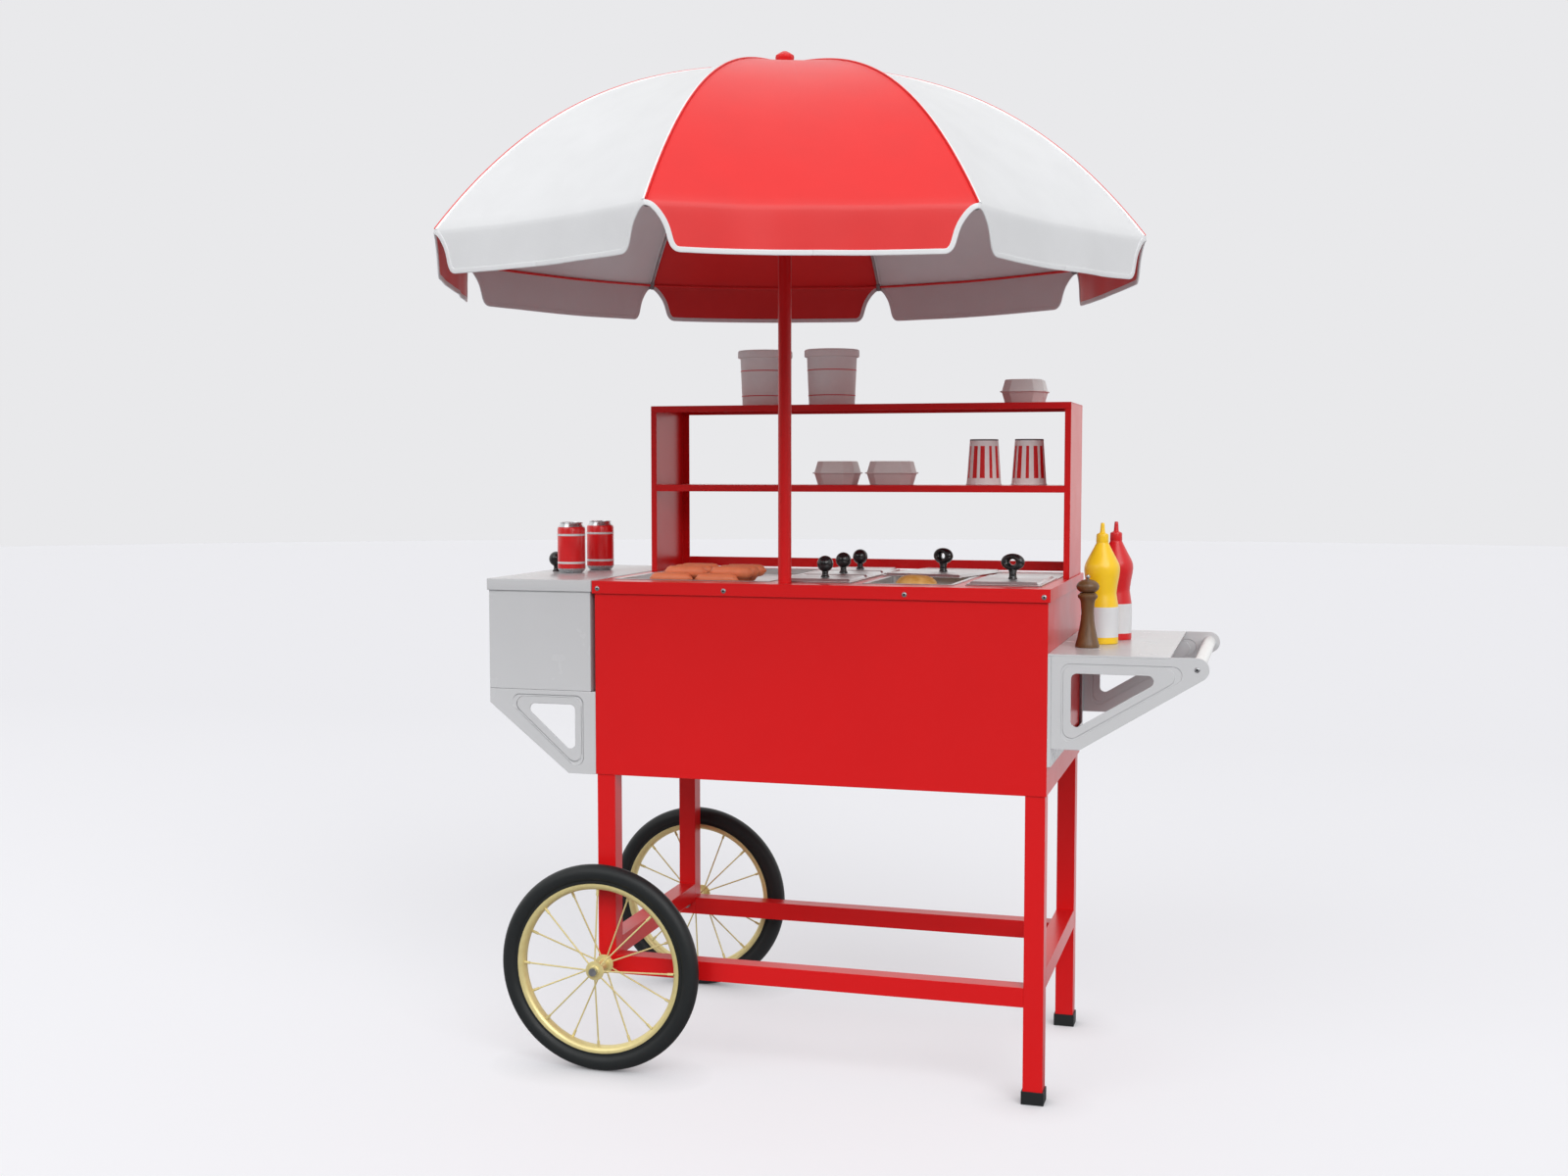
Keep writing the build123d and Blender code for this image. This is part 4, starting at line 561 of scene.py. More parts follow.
def copy_of(piece):
    """A copy of a piece with a mesh of its own."""
    twin = piece.copy()
    twin.data = piece.data.copy()
    bpy.context.scene.collection.objects.link(twin)
    return twin


def join(pieces):
    """Joins pieces into the first of them."""
    select_only(pieces[0])
    for piece in pieces:
        piece.select_set(True)
    bpy.ops.object.join()
    return pieces[0]


def paint(piece, name, chosen=None):
    """Gives a finish to a piece, or only to the faces whose middle and normal are chosen."""
    piece.data.materials.append(bpy.data.materials[name])
    last = len(piece.data.materials) - 1
    for face in piece.data.polygons:
        if chosen is None or chosen(face.center, face.normal):
            face.material_index = last


def off_axis(point):
    """How far a point is from the Z axis."""
    return math.hypot(point.x, point.y)


def settle(piece, name, body, slot, *nodes):
    """Names a finished piece, rides it on its body, and has it stand for its CAD nodes."""
    piece.name = name
    piece.data.name = name
    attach(piece, body)
    if nodes:
        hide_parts(*nodes)


def set_out(model, spots):
    """Copies a model to each spot, given as its place, its turn and what settle needs, and removes it."""
    for at, turn, *labels in spots:
        twin = copy_of(model)
        place(twin, at, turn)
        settle(twin, *labels)
    bpy.data.objects.remove(model)


def round_edges(node, width):
    """Live modifiers that merge a CAD node's triangles into flat faces and round its sharp edges."""
    weld = node.modifiers.new("Weld", "WELD")
    weld.merge_threshold = 0.005 * MM
    flat = node.modifiers.new("Flat", "DECIMATE")
    flat.decimate_type = "DISSOLVE"
    flat.angle_limit = math.radians(1)
    bevel = node.modifiers.new("Round", "BEVEL")
    bevel.width = width
    bevel.segments = 2
    bevel.limit_method = "ANGLE"
    bevel.angle_limit = math.radians(40)
    bevel.use_clamp_overlap = False
    bevel.harden_normals = True


RIB_NODES = tuple(f"{kind}_{k}" for kind in ("rib", "stretcher") for k in range(1, RIBS + 1))
# Finish, how many times the usual rounding its edges get, and the CAD nodes
PAINTWORK = (
    ("red_enamel_on_steel", 1, ("legs", "rails", "front_panel", "end_panels", "cabinet_floor", "worktop",
                                "rear_door_left", "rear_door_right", "shelf_ends", "shelves")),
    ("red_enamel_on_steel", 0, ("pole",)),
    ("grey_enamel_on_steel", 2, ("cold_box", "cold_box_bracket")),
    ("grey_enamel_on_steel", 1, ("side_shelf_plate", "side_shelf_bracket")),
    ("white_enamel_on_steel", 0, ("push_handle",)),
    ("brushed_stainless_steel", 0, ("sausage_pan", "small_pans", "large_pans")),
    ("zinc_plated_steel", 0, ("axle_bolts", "pole_socket") + RIB_NODES),
    ("black_tyre_rubber", 1, ("rubber_feet",)),
    ("grey_nylon", 0, ("crown_hub", "runner")),
    ("cast_iron", 0, ("burner",)),
    ("grey_enamel_on_steel", 0, ("gas_bottle",)),
)


class CART_OT_paintwork(bpy.types.Operator):
    """Finishes the CAD pieces that keep their shape"""
    bl_idname = "cart.paintwork"
    bl_label = "Paintwork"

    def execute(self, context):
        for name, rounded, nodes in PAINTWORK:
            for node in nodes:
                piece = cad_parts[node]
                for slot in piece.material_slots:
                    slot.material = bpy.data.materials[name]
                if rounded:
                    round_edges(piece, rounded * context.scene.cart_sizes.rounding)
        return {"FINISHED"}


def rib_heading(k):
    """The angle of rib k about the pole."""
    return FIRST_RIB + 2 * HALF_GORE * (k - 1)


def level(angle):
    """The level direction at an angle from +X."""
    return Vector((math.cos(angle), math.sin(angle), 0))


def dome_height(radius):
    """Height of the canopy over a rib, as in the CAD: straight at the crown, then bending over."""
    return CROWN_Z - CROWN_SLOPE * radius - RIM_BEND * (radius / RIM_RADIUS) ** 3


def dome_slope(radius):
    """How steeply the canopy falls over a rib."""
    return math.atan(CROWN_SLOPE + 3 * RIM_BEND * radius ** 2 / RIM_RADIUS ** 3)


def dome_normal(out, radius):
    """The direction square to the canopy where it falls towards out."""
    slope = dome_slope(radius)
    return out * math.sin(slope) + UP * math.cos(slope)


def dome_run(radius, steps=40):
    """Length of cloth over a rib from the crown to this radius."""
    places = [radius * i / steps for i in range(steps + 1)]
    return sum(math.hypot(b - a, dome_height(b) - dome_height(a)) for a, b in zip(places, places[1:]))


def bell(value, middle, reach):
    """A smooth hump of height 1."""
    return math.exp(-((value - middle) / reach) ** 2)


def creases(inside, radius):
    """Slanting creases beside each rib, deepest about a third of the way out."""
    waves = math.sin(2 * math.pi * (CREASE_SLANT * inside + radius / CREASE_PITCH))
    across = bell(inside, *CREASE_ACROSS) * min(1, inside / CREASE_START)
    return CREASE_HEIGHT * waves * bell(radius, *CREASE_ALONG) * across


def cloth_point(sizes, k, side, across, radius, drop=0.0):
    """A point of the canopy: across runs from rib k (0) past the panel's middle (1), radius is that of
    the ring on the ribs, and drop is how far a flap hangs below the rim."""
    here = rib_heading(k)
    over_rib = level(here)
    outward = level(here + side * HALF_GORE)
    end = level(here + side * 2 * HALF_GORE) * radius
    point = (over_rib * radius).lerp(end, across / 2) + Vector((POLE_X, 0, dome_height(radius)))
    inside = min(across, 2 - across)
    hollow = inside * (2 - inside)
    share = radius / RIM_RADIUS
    sink = sizes.sag * hollow * math.sin(SAG_SPAN * math.pi * share) ** 2
    slack = noise.noise(point * DOME_WAVES) * hollow * share
    sink -= sizes.ripple * (slack + creases(inside, radius))
    if across > 1:
        # What runs on under the next panel's edge shows only when the umbrella folds.
        sink += TUCK_DEPTH * min(1, (across - 1) / TUCK_EASE)
    point -= dome_normal(outward, radius) * sink
    if drop:
        waves = noise.noise(Vector((point.x * FLAP_WAVES, point.y * FLAP_WAVES, 3)))
        flutter = sizes.ripple * waves * hollow * drop / FLAP_FLUTTER
        hang = over_rib.lerp(outward, min(1, inside / FLAP_CORNER)).normalized()
        point += hang * (FLAP_STANDOFF * (1 - math.exp(-drop / FLAP_BEND)) + flutter)
        point.z -= drop
    return point


def tuck(radius):
    """How far past a panel's middle the cloth runs on under its neighbour, near the crown only."""
    fade = max(0, min(1, (TUCK_END - radius) / TUCK_FADE))
    return min(TUCK_MOST, TUCK_MOST * (TUCK_RADIUS / radius) ** TUCK_FALL) * fade


def face_out(piece, out):
    """Turns the faces of an open sheet to the same side, towards a direction."""
    edit_all(piece)
    bpy.ops.mesh.remove_doubles(threshold=0.05 * MM)
    bpy.ops.mesh.normals_make_consistent(inside=False)
    deselect()
    if sum(face.normal.dot(out) * face.area for face in piece.data.polygons) < 0:
        edit_all(piece)
        bpy.ops.mesh.flip_normals()
        deselect()


def canopy_half(sizes, k, side):
    """The cloth from rib k to the middle of the panel on one side, with half of that panel's flap."""
    columns = 24
    dome = 46
    rows = [(CROWN_HOLE + (RIM_RADIUS - CROWN_HOLE) * i / dome, 0, 0) for i in range(dome)]
    rows += [(RIM_RADIUS, drop * MM, edge * MM / HALF_RIM) for drop, edge in FLAP_EDGE]
    runs = [dome_run(radius) + drop for radius, drop, first in rows]
    deselect()
    bpy.ops.mesh.primitive_grid_add(x_subdivisions=columns, y_subdivisions=len(rows) - 1, size=1)
    half = bpy.context.object
    weave = half.data.uv_layers[0]
    weave.name = "Weave"
    threads = []
    for vertex in half.data.vertices:
        row = round((vertex.co.y + 0.5) * (len(rows) - 1))
        radius, drop, first = rows[row]
        last = 1 + tuck(radius)
        across = first + (last - first) * (vertex.co.x + 0.5)
        threads.append((side * across * radius * math.sin(HALF_GORE), runs[row]))
        vertex.co = cloth_point(sizes, k, side, across, radius, drop)
    for loop in half.data.loops:
        weave.data[loop.index].uv = threads[loop.vertex_index]
    gore = k if side > 0 else (k - 2) % RIBS + 1
    paint(half, "red_polyester_canvas" if gore % 2 == 0 else "white_polyester_canvas")
    return half


def canopy_strip(sizes, k):
    """The cloth over one rib, sewn from two half panels. Returns it with its flat area."""
    strip = join([canopy_half(sizes, k, 1), canopy_half(sizes, k, -1)])
    face_out(strip, UP)
    area = sum(face.area for face in strip.data.polygons)
    apply_modifier(strip, "SOLIDIFY", thickness=sizes.fabric, offset=-1)
    smooth(strip, 60)
    return strip, area


def flap_binding(sizes, k):
    """The flat tape bound over a strip's lower edge: along one flap, up its notch, down the next."""
    half = [(edge * MM, drop * MM) for drop, edge in FLAP_EDGE[NOTCH_START:]]
    first, lowest = half[-1]
    steps = 20
    half += [(first + (HALF_RIM - first) * i / steps, lowest) for i in range(1, steps + 1)]
    edge = [Vector((-u, drop)) for u, drop in reversed(half[1:])] + [Vector(point) for point in half]
    columns = 3
    deselect()
    bpy.ops.mesh.primitive_grid_add(x_subdivisions=columns, y_subdivisions=len(edge) - 1, size=1)
    tape = bpy.context.object
    for vertex in tape.data.vertices:
        row = round((vertex.co.y + 0.5) * (len(edge) - 1))
        run = (edge[min(row + 1, len(edge) - 1)] - edge[max(row - 1, 0)]).normalized()
        inward = Vector((run.y, -run.x))
        spot = edge[row] + inward * ((vertex.co.x + 0.5) * sizes.binding - 0.7 * MM)
        side = 1 if spot.x > 0 else -1
        vertex.co = cloth_point(sizes, k, side, abs(spot.x) / HALF_RIM, RIM_RADIUS, max(spot.y, 0.1 * MM))
    face_out(tape, level(rib_heading(k)))
    apply_modifier(tape, "SOLIDIFY", thickness=sizes.fabric + 2 * MM, offset=-0.375)
    soften(tape, 0.7, segments=2, degrees=50)
    paint(tape, "white_polyester_canvas")
    smooth(tape, 60)
    return tape


def piping(points, radius, name):
    """A round cord through points."""
    curve = bpy.data.curves.new("Piping", "CURVE")
    curve.dimensions = "3D"
    curve.bevel_depth = radius
    curve.bevel_resolution = 2
    curve.use_fill_caps = True
    spline = curve.splines.new("POLY")
    spline.points.add(len(points) - 1)
    for target, point in zip(spline.points, points):
        target.co = (*point, 1)
    piece = bpy.data.objects.new("Piping", curve)
    bpy.context.scene.collection.objects.link(piece)
    select_only(piece)
    bpy.ops.object.convert(target="MESH")
    piece = bpy.context.object
    paint(piece, name)
    smooth(piece, 60)
    return piece


def seam_pipings(sizes, k):
    """White tape and a thin red edge side by side over rib k, and the red cord in the fold of the rim."""
    red_side = 1 if k % 2 == 0 else -1
    heading = rib_heading(k)
    out = level(heading)
    tangent = level(heading + math.pi / 2)
    # Side of the rib, distance from it and lift in millimetres, radius, finish
    edges = ((-red_side, 3.6, -1.7, 1.5 * sizes.seam, "white_polyester_tape"),
             (red_side, 0.8, 1.2, 0.8 * sizes.seam, "red_polyester_canvas"))
    steps = 40
    start = 0.05
    pieces = []
    for side, away, lift, thick, name in edges:
        points = []
        for i in range(steps + 1):
            radius = RIM_RADIUS * (start + (1 - start) * i / steps)
            shift = tangent * (side * away * MM) + dome_normal(out, radius) * (lift * MM)
            points.append(cloth_point(sizes, k, side, 0, radius) + shift)
        pieces.append(piping(points, thick, name))
    half = 16
    inset = out * (5 * MM) + UP * (2 * MM)
    fold = [cloth_point(sizes, k, 1 if i > 0 else -1, abs(i) / half, RIM_RADIUS) - inset
            for i in range(-half, half + 1)]
    pieces.append(piping(fold, 1.5 * sizes.seam, "red_polyester_canvas"))
    return pieces


class CART_OT_canopy(bpy.types.Operator):
    """Sews the canopy: eight strips of cloth, one over each rib, with bound flaps and piped seams"""
    bl_idname = "cart.canopy"
    bl_label = "Canopy"

    def execute(self, context):
        sizes = context.scene.cart_sizes
        for k in range(1, RIBS + 1):
            strip, area = canopy_strip(sizes, k)
            binding = join([flap_binding(sizes, k)] + seam_pipings(sizes, k))
            for piece, name in ((strip, f"canopy_strip_{k}"), (binding, f"canopy_binding_{k}")):
                settle(piece, name, f"rib_{k}", "canopy_fabric", "canopy")
                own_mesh(piece)
        return {"FINISHED"}


class CART_OT_umbrella_ends(bpy.types.Operator):
    """Caps the ribs' ends and tops the crown"""
    bl_idname = "cart.umbrella_ends"
    bl_label = "Umbrella ends"

    def execute(self, context):
        outline = ((0, -9), (4.4, -9), (5, -8), (5, 1), (6.5, 3), (6.8, 6), (5.4, 9), (2.6, 11), (0, 11.4))
        cap = turned(outline, 24)
        paint(cap, "grey_nylon")
        spots = []
        for k in range(1, RIBS + 1):
            heading = rib_heading(k)
            at = level(heading) * RIB_TIP + Vector((POLE_X, 0, dome_height(RIB_TIP) - RIB_DROP))
            turn = (0, math.pi / 2 + dome_slope(RIB_TIP), heading)
            spots.append((at, turn, f"rib_cap_{k}", f"rib_{k}", "grey_paint"))
        set_out(cap, spots)
        outline = ((0, 0), (16, 0), (17, 1), (20.6, 12), (21, 15), (20, 19.5), (12, 25), (5, 28.6),
                   (0, 29.5))
        knob = turned(outline, 10)
        apply_modifier(knob, "BEVEL", width=0.8 * MM, segments=2)
        paint(knob, "red_enamel_on_steel")
        smooth(knob, 20)
        place(knob, (POLE_X, 0, KNOB_Z))
        settle(knob, "crown_knob", "umbrella", "red_paint", "finial")
        return {"FINISHED"}


def arc(centre, radius, first, last, steps):
    """Points (radius, height) along an arc, its angles in degrees from straight out."""
    angles = [math.radians(first + (last - first) * i / steps) for i in range(steps + 1)]
    return [(centre[0] + radius * math.cos(a), centre[1] + radius * math.sin(a)) for a in angles]


def wheel_spokes(sizes):
    """Spokes about Z, every second one to the other hub flange, each with its nipple."""
    pieces = []
    for i in range(SPOKES):
        out = level(2 * math.pi * i / SPOKES)
        side = UP if i % 2 == 0 else -UP
        near = out * SPOKE_NEAR[0] + side * SPOKE_NEAR[1]
        far = out * SPOKE_FAR[0] + side * SPOKE_FAR[1]
        run = far - near
        turn = run.to_track_quat("Z", "Y").to_euler()
        for start, radius in ((near, sizes.spoke), (far - run.normalized() * NIPPLE, 1.7 * sizes.spoke)):
            deselect()
            bpy.ops.mesh.primitive_cylinder_add(vertices=10, radius=radius, depth=(far - start).length,
                                                location=(start + far) / 2, rotation=turn)
            pieces.append(bpy.context.object)
    spokes = join(pieces)
    place(spokes, spokes.location, spokes.rotation_euler)
    return spokes


class CART_OT_wheels(bpy.types.Operator):
    """Builds the two wire wheels: tyre, rim, spokes and hub"""
    bl_idname = "cart.wheels"
    bl_label = "Wheels"

    def execute(self, context):
        sizes = context.scene.cart_sizes
        section = sizes.tyre / MM
        tread = arc((sizes.tyre_circle / MM, 0), section, -140, 140, 28)
        tyre = turned(tread + [(182, 11), (182, -11)], 128, closed=True)
        paint(tyre, "black_tyre_rubber")
        outer = [(190.4, -15.4), (191, -14.2), (190, -12.8), (183, -11.4), (180.4, -7), (179.4, 0)]
        inner = [(176, 0), (177, -6.5), (179.4, -11.5), (183, -14.4), (187, -15.6)]
        across = [(r, -y) for r, y in reversed(outer[:-1])]
        back = [(r, -y) for r, y in reversed(inner[1:])]
        rim = turned(outer + across + back + inner, 128, closed=True)
        spokes = wheel_spokes(sizes)
        flange = [(20.8, 30), (21.5, 28), (20.8, 26), (13.5, 25.4), (12, 23.5)]
        barrel = flange + [(r, -y) for r, y in reversed(flange)]
        hub = turned([(6.4, 35), (11, 35), (12, 34), (12, 31), (14, 30.4)] + barrel
                     + [(14, -30.4), (12, -31), (12, -34), (11, -35), (6.4, -35)], 40, closed=True)
        for piece in (rim, spokes, hub):
            paint(piece, "gold_lacquered_steel")
            smooth(piece)
        models = ((tyre, "tyre", "tyre", "tyre"), (rim, "rim", "gold_paint", "wheel"),
                  (spokes, "spokes", "gold_paint", "wheel"), (hub, "hub", "gold_paint", "wheel"))
        for side, y in WHEELS:
            for piece, name, slot, node in models:
                twin = copy_of(piece)
                place(twin, (AXLE_X, y, AXLE_Z), (math.pi / 2, 0, 0))
                settle(twin, f"{side}_{name}_form", f"{side}_wheel", slot, f"{side}_{node}")
        for piece in (tyre, rim, spokes, hub):
            bpy.data.objects.remove(piece)
        return {"FINISHED"}


def rounded_ring(width, depth, corner, height, steps=6):
    """Points round a rectangle with its corners rounded, or cut flat by one step; sizes in millimetres."""
    points = []
    for quarter, (x, y) in enumerate(((1, 1), (-1, 1), (-1, -1), (1, -1))):
        middle = (x * (width / 2 - corner), y * (depth / 2 - corner))
        turn = 90 * quarter
        points += [Vector((*spot, height)) * MM for spot in arc(middle, corner, turn, turn + 90, steps)]
    return points


def stacked(sections, steps=6):
    """Skins rounded rectangles (width, depth, corner, height) one after another and closes both ends."""
    rings = [rounded_ring(*section, steps) for section in sections]
    around = len(rings[0])
    deselect()
    bpy.ops.mesh.primitive_grid_add(x_subdivisions=around, y_subdivisions=len(rings) - 1, size=1)
    piece = bpy.context.object
    for vertex in piece.data.vertices:
        row = round((vertex.co.y + 0.5) * (len(rings) - 1))
        vertex.co = rings[row][round((vertex.co.x + 0.5) * around) % around]
    edit_all(piece)
    bpy.ops.mesh.remove_doubles(threshold=0.01 * MM)
    bpy.ops.mesh.fill_holes(sides=0)
    bpy.ops.mesh.select_all(action="SELECT")
    bpy.ops.mesh.normals_make_consistent(inside=False)
    deselect()
    return piece


def tray(width, depth, path, corner, bevel, name):
    """A folded sheet piece, its path given as distances in from the edge and heights."""
    piece = stacked([(width - 2 * i, depth - 2 * i, max(corner - i, 0.4 * corner), z) for i, z in path])
    soften(piece, bevel, segments=3, degrees=25)
    paint(piece, name)
    smooth(piece, 40)
    return piece


def pressed_lid(width, depth):
    """A pressed steel lid, its underside at zero height: flat border, rolled step, raised middle."""
    path = ((27, 4), (24, 5), (11, 5), (9, 0), (0, 0), (0, 2.4), (7, 2.4), (10, 7), (20, 7), (23, 6.2))
    return tray(width, depth, path, 9, 0.9, "brushed_stainless_steel")


def ball_knob(sizes):
    """A black ball on a waisted stem, standing at zero height."""
    ball = sizes.knob / MM
    stem = [(8, 4), (7, 7), (6.8, 11), (7.4, 13.4)]
    knob = turned(KNOB_FOOT + stem + arc((0, 30), ball, -64, 90, 20), 40)
    paint(knob, "black_bakelite_and_socket_shade")
    smooth(knob, 50)
    return knob


def ring_knob():
    """A black finger ring on a flared stem, standing at zero height and turned a little to the left."""
    deselect()
    bpy.ops.mesh.primitive_torus_add(major_segments=48, minor_segments=20,
                                     major_radius=19 * MM, minor_radius=9.5 * MM)
    ring = bpy.context.object
    ring.scale = (1.02, 0.66, 1.05)
    place(ring, (0, 0, 37 * MM), (math.pi / 2, 0, RING_TURN))
    stem = turned(KNOB_FOOT + [(8.6, 4), (8, 8), (8, 14), (9.4, 19), (11.4, 23), (0, 24)], 32)
    knob = join([ring, stem])
    paint(knob, "black_bakelite_and_socket_shade")
    smooth(knob, 50)
    return knob


class CART_OT_lids(bpy.types.Operator):
    """Presses the five pan lids and fits their knobs"""
    bl_idname = "cart.lids"
    bl_label = "Pan lids"

    def execute(self, context):
        for name, width, depth, (x, y), turn, kind in LIDS:
            plate = pressed_lid(width, depth)
            knob = ball_knob(context.scene.cart_sizes) if kind == "ball" else ring_knob()
            place(plate, (x, y, LID_Z), (0, 0, math.radians(turn)))
            place(knob, (x, y, LID_TOP - 1 * MM), (0, 0, math.radians(turn)))
            settle(plate, f"{name}_plate", name, "steel", name)
            settle(knob, f"{name}_knob", name, "rubber", name)
        return {"FINISHED"}


class CART_OT_cold_lid(bpy.types.Operator):
    """Folds the cold box lid and fits its knob"""
    bl_idname = "cart.cold_lid"
    bl_label = "Cold box lid"

    def execute(self, context):
        low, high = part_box("cold_box_lid")
        drop = (COLD_TOP - low.z) / MM
        path = ((2, drop - 2), (2, 0), (0, 0), (0, drop))
        lid = tray((high.x - low.x) / MM, (high.y - low.y) / MM, path, 4, 0.9, "grey_enamel_on_steel")
        place(lid, ((low.x + high.x) / 2, (low.y + high.y) / 2, low.z))
        settle(lid, "cold_lid_plate", "cold_lid", "insulated_grey", "cold_box_lid")
        knob = ball_knob(context.scene.cart_sizes)
        place(knob, COLD_KNOB)
        settle(knob, "cold_lid_knob", "cold_lid", "rubber", "cold_box_lid")
        return {"FINISHED"}


class CART_OT_screws(bpy.types.Operator):
    """Turns the button-head screws of the worktop lip and the push handle"""
    bl_idname = "cart.screws"
    bl_label = "Screws"

    def execute(self, context):
        outline = ((0, 1.4), (1.6, 1.4), (2, 2.4), (3.4, 2.3), (4.4, 1.7), (5.2, 0.6), (5.5, 0.5), (5.5, 0),
                   (0, 0))
        head = turned(outline, 28)
        paint(head, "zinc_plated_steel")
        # The socket in the head is painted black as painted shade in its recess.
        paint(head, "black_bakelite_and_socket_shade",
              lambda middle, normal: middle.z > 1.3 * MM and off_axis(middle) < 1.9 * MM)
        heads = []
        for x, y, z, side in SCREW_PLACES:
            twin = copy_of(head)
            place(twin, (x, y, z), (side * math.pi / 2, 0, 0))
            heads.append(twin)
        bpy.data.objects.remove(head)
        settle(join(heads), "screw_heads", "cart", "zinc", "screws")
        return {"FINISHED"}


class CART_OT_sausages(bpy.types.Operator):
    """Lays the sausages in their pan"""
    bl_idname = "cart.sausages"
    bl_label = "Sausages"

    def execute(self, context):
        sizes = context.scene.cart_sizes
        thick = sizes.sausage / MM
        half = sizes.sausage_length / MM / 2
        straight = half - 22
        end = [(0, half - 0.5), (2.4, half - 1.2), (3.6, half - 3), (5.4, half - 4.6),
               (thick * 0.72, half - 8), (thick * 0.93, half - 14), (thick * 0.99, straight)]
        body = [(thick * (1 - 0.015 * (i % 2)), straight * (1 - i / 5)) for i in range(1, 5)]
        upper = end + body
        model = turned(upper + [(thick, 0)] + [(r, -z) for r, z in reversed(upper)], 28)
        paint(model, "cooked_sausage_skin")
        smooth(model, 80)
        chance = random.Random(7)
        pile = []
        for middle, y, z in SAUSAGE_ROWS:
            for x in (middle - SAUSAGE_STEP, middle + SAUSAGE_STEP):
                twin = copy_of(model)
                bow = chance.uniform(-3.5, 3.5) * MM
                for vertex in twin.data.vertices:
                    vertex.co.y += bow * (1 - (vertex.co.z / (half * MM)) ** 2)
                at = (x + chance.uniform(-3, 3) * MM, y, z + chance.uniform(-0.4, 0.4) * MM)
                place(twin, at, (0, math.pi / 2, 0))
                swing = math.radians(chance.uniform(-1.6, 1.6))
                for vertex in twin.data.vertices:
                    vertex.co.y += (vertex.co.x - x) * math.tan(swing)
                pile.append(twin)
        bpy.data.objects.remove(model)
        settle(join(pile), "sausage_pile", "cart", "food", "sausages")
        return {"FINISHED"}


class CART_OT_bun(bpy.types.Operator):
    """Bakes the bun in the open pan"""
    bl_idname = "cart.bun"
    bl_label = "Bun"

    def execute(self, context):
        low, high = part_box("burger_bun")
        outline = ((0, 0), (38, 0), (46, 4), (49.4, 12), (50, 20), (48.6, 25), (47.2, 27), (48.6, 29),
                   (48, 37), (44, 46), (36, 53.5), (25, 58), (12, 60), (0, 60.2))
        bun = turned(outline, 48)
        for vertex in bun.data.vertices:
            vertex.co *= 1 + 0.03 * noise.noise(vertex.co * 40)
        paint(bun, "baked_bread_crust")
        smooth(bun, 60)
        place(bun, ((low.x + high.x) / 2, (low.y + high.y) / 2, low.z))
        settle(bun, "bun_crust", "cart", "food", "burger_bun")
        return {"FINISHED"}


def printed_band(radius, low, tall, proud, flare, steps):
    """A thin band round a turned package, wider by its flare at the top; sizes in millimetres."""
    return turned(((radius, low), (radius + proud, low), (radius + flare + proud, low + tall),
                   (radius + flare, low + tall)), steps, closed=True)


class CART_OT_cans(bpy.types.Operator):
    """Draws the two drink cans with their domed base, necked rim and pull tab"""
    bl_idname = "cart.cans"
    bl_label = "Drink cans"

    def execute(self, context):
        outline = ((0, 9), (16, 5), (22, 1.5), (24, 0), (26, 1), (31, 6), (33, 11), (33, 104), (31.5, 109),
                   (27.6, 114.5), (26.6, 117), (27.4, 119), (27, 120), (25.6, 120), (25, 118.6), (24.6, 114),
                   (22.6, 113.4), (0, 113.8))
        can = turned(outline, 56)
        paint(can, "drawn_aluminium")
        paint(can, "red_printed_can",
              lambda middle, normal: 10 * MM < middle.z < 111 * MM and off_axis(middle) > 28 * MM)
        deselect()
        bpy.ops.mesh.primitive_torus_add(major_segments=24, minor_segments=8,
                                         major_radius=7 * MM, minor_radius=1.1 * MM)
        tab = bpy.context.object
        tab.scale = (0.8, 1.25, 0.8)
        place(tab, (0, 6 * MM, 115.2 * MM))
        paint(tab, "drawn_aluminium")
        bands = join([printed_band(33.05, low, tall=5, proud=0.2, flare=0, steps=56) for low in (22, 88)])
        paint(bands, "white_label_film")
        can = join([can, tab, bands])
        set_out(can, [((x, y, COLD_TOP), (0, 0, 0.9 * index),
                       f"drink_can_{index}", "cold_lid", "can_metal", "drink_cans")
                      for index, (x, y) in enumerate(CAN_PLACES, 1)])
        return {"FINISHED"}


class CART_OT_tubs(bpy.types.Operator):
    """Stands the two lidded tubs on the top shelf"""
    bl_idname = "cart.tubs"
    bl_label = "Tubs"

    def execute(self, context):
        outline = ((0, 1), (51, 1), (53, 0), (54.6, 0.8), (55, 3), (57.4, 57), (59.8, 113), (60, 115.6),
                   (63.6, 116), (65.4, 116.8), (66, 119), (66, 129.6), (65.4, 132.2), (63.4, 134), (60, 134),
                   (58.4, 132), (0, 132))
        tub = turned(outline, 64)
        paint(tub, "white_coated_card")
        for low in (24, 84):
            line = printed_band(55.2 + 5 * low / 116, low, tall=2, proud=0.5, flare=0.1, steps=64)
            paint(line, "red_printed_card")
            tub = join([tub, line])
        set_out(tub, [((x, GOODS_Y, SHELF_TOP), (0, 0, 0), f"tub_{index}", "cart", "card", "paper_goods")
                      for index, x in enumerate(TUB_PLACES, 1)])
        return {"FINISHED"}


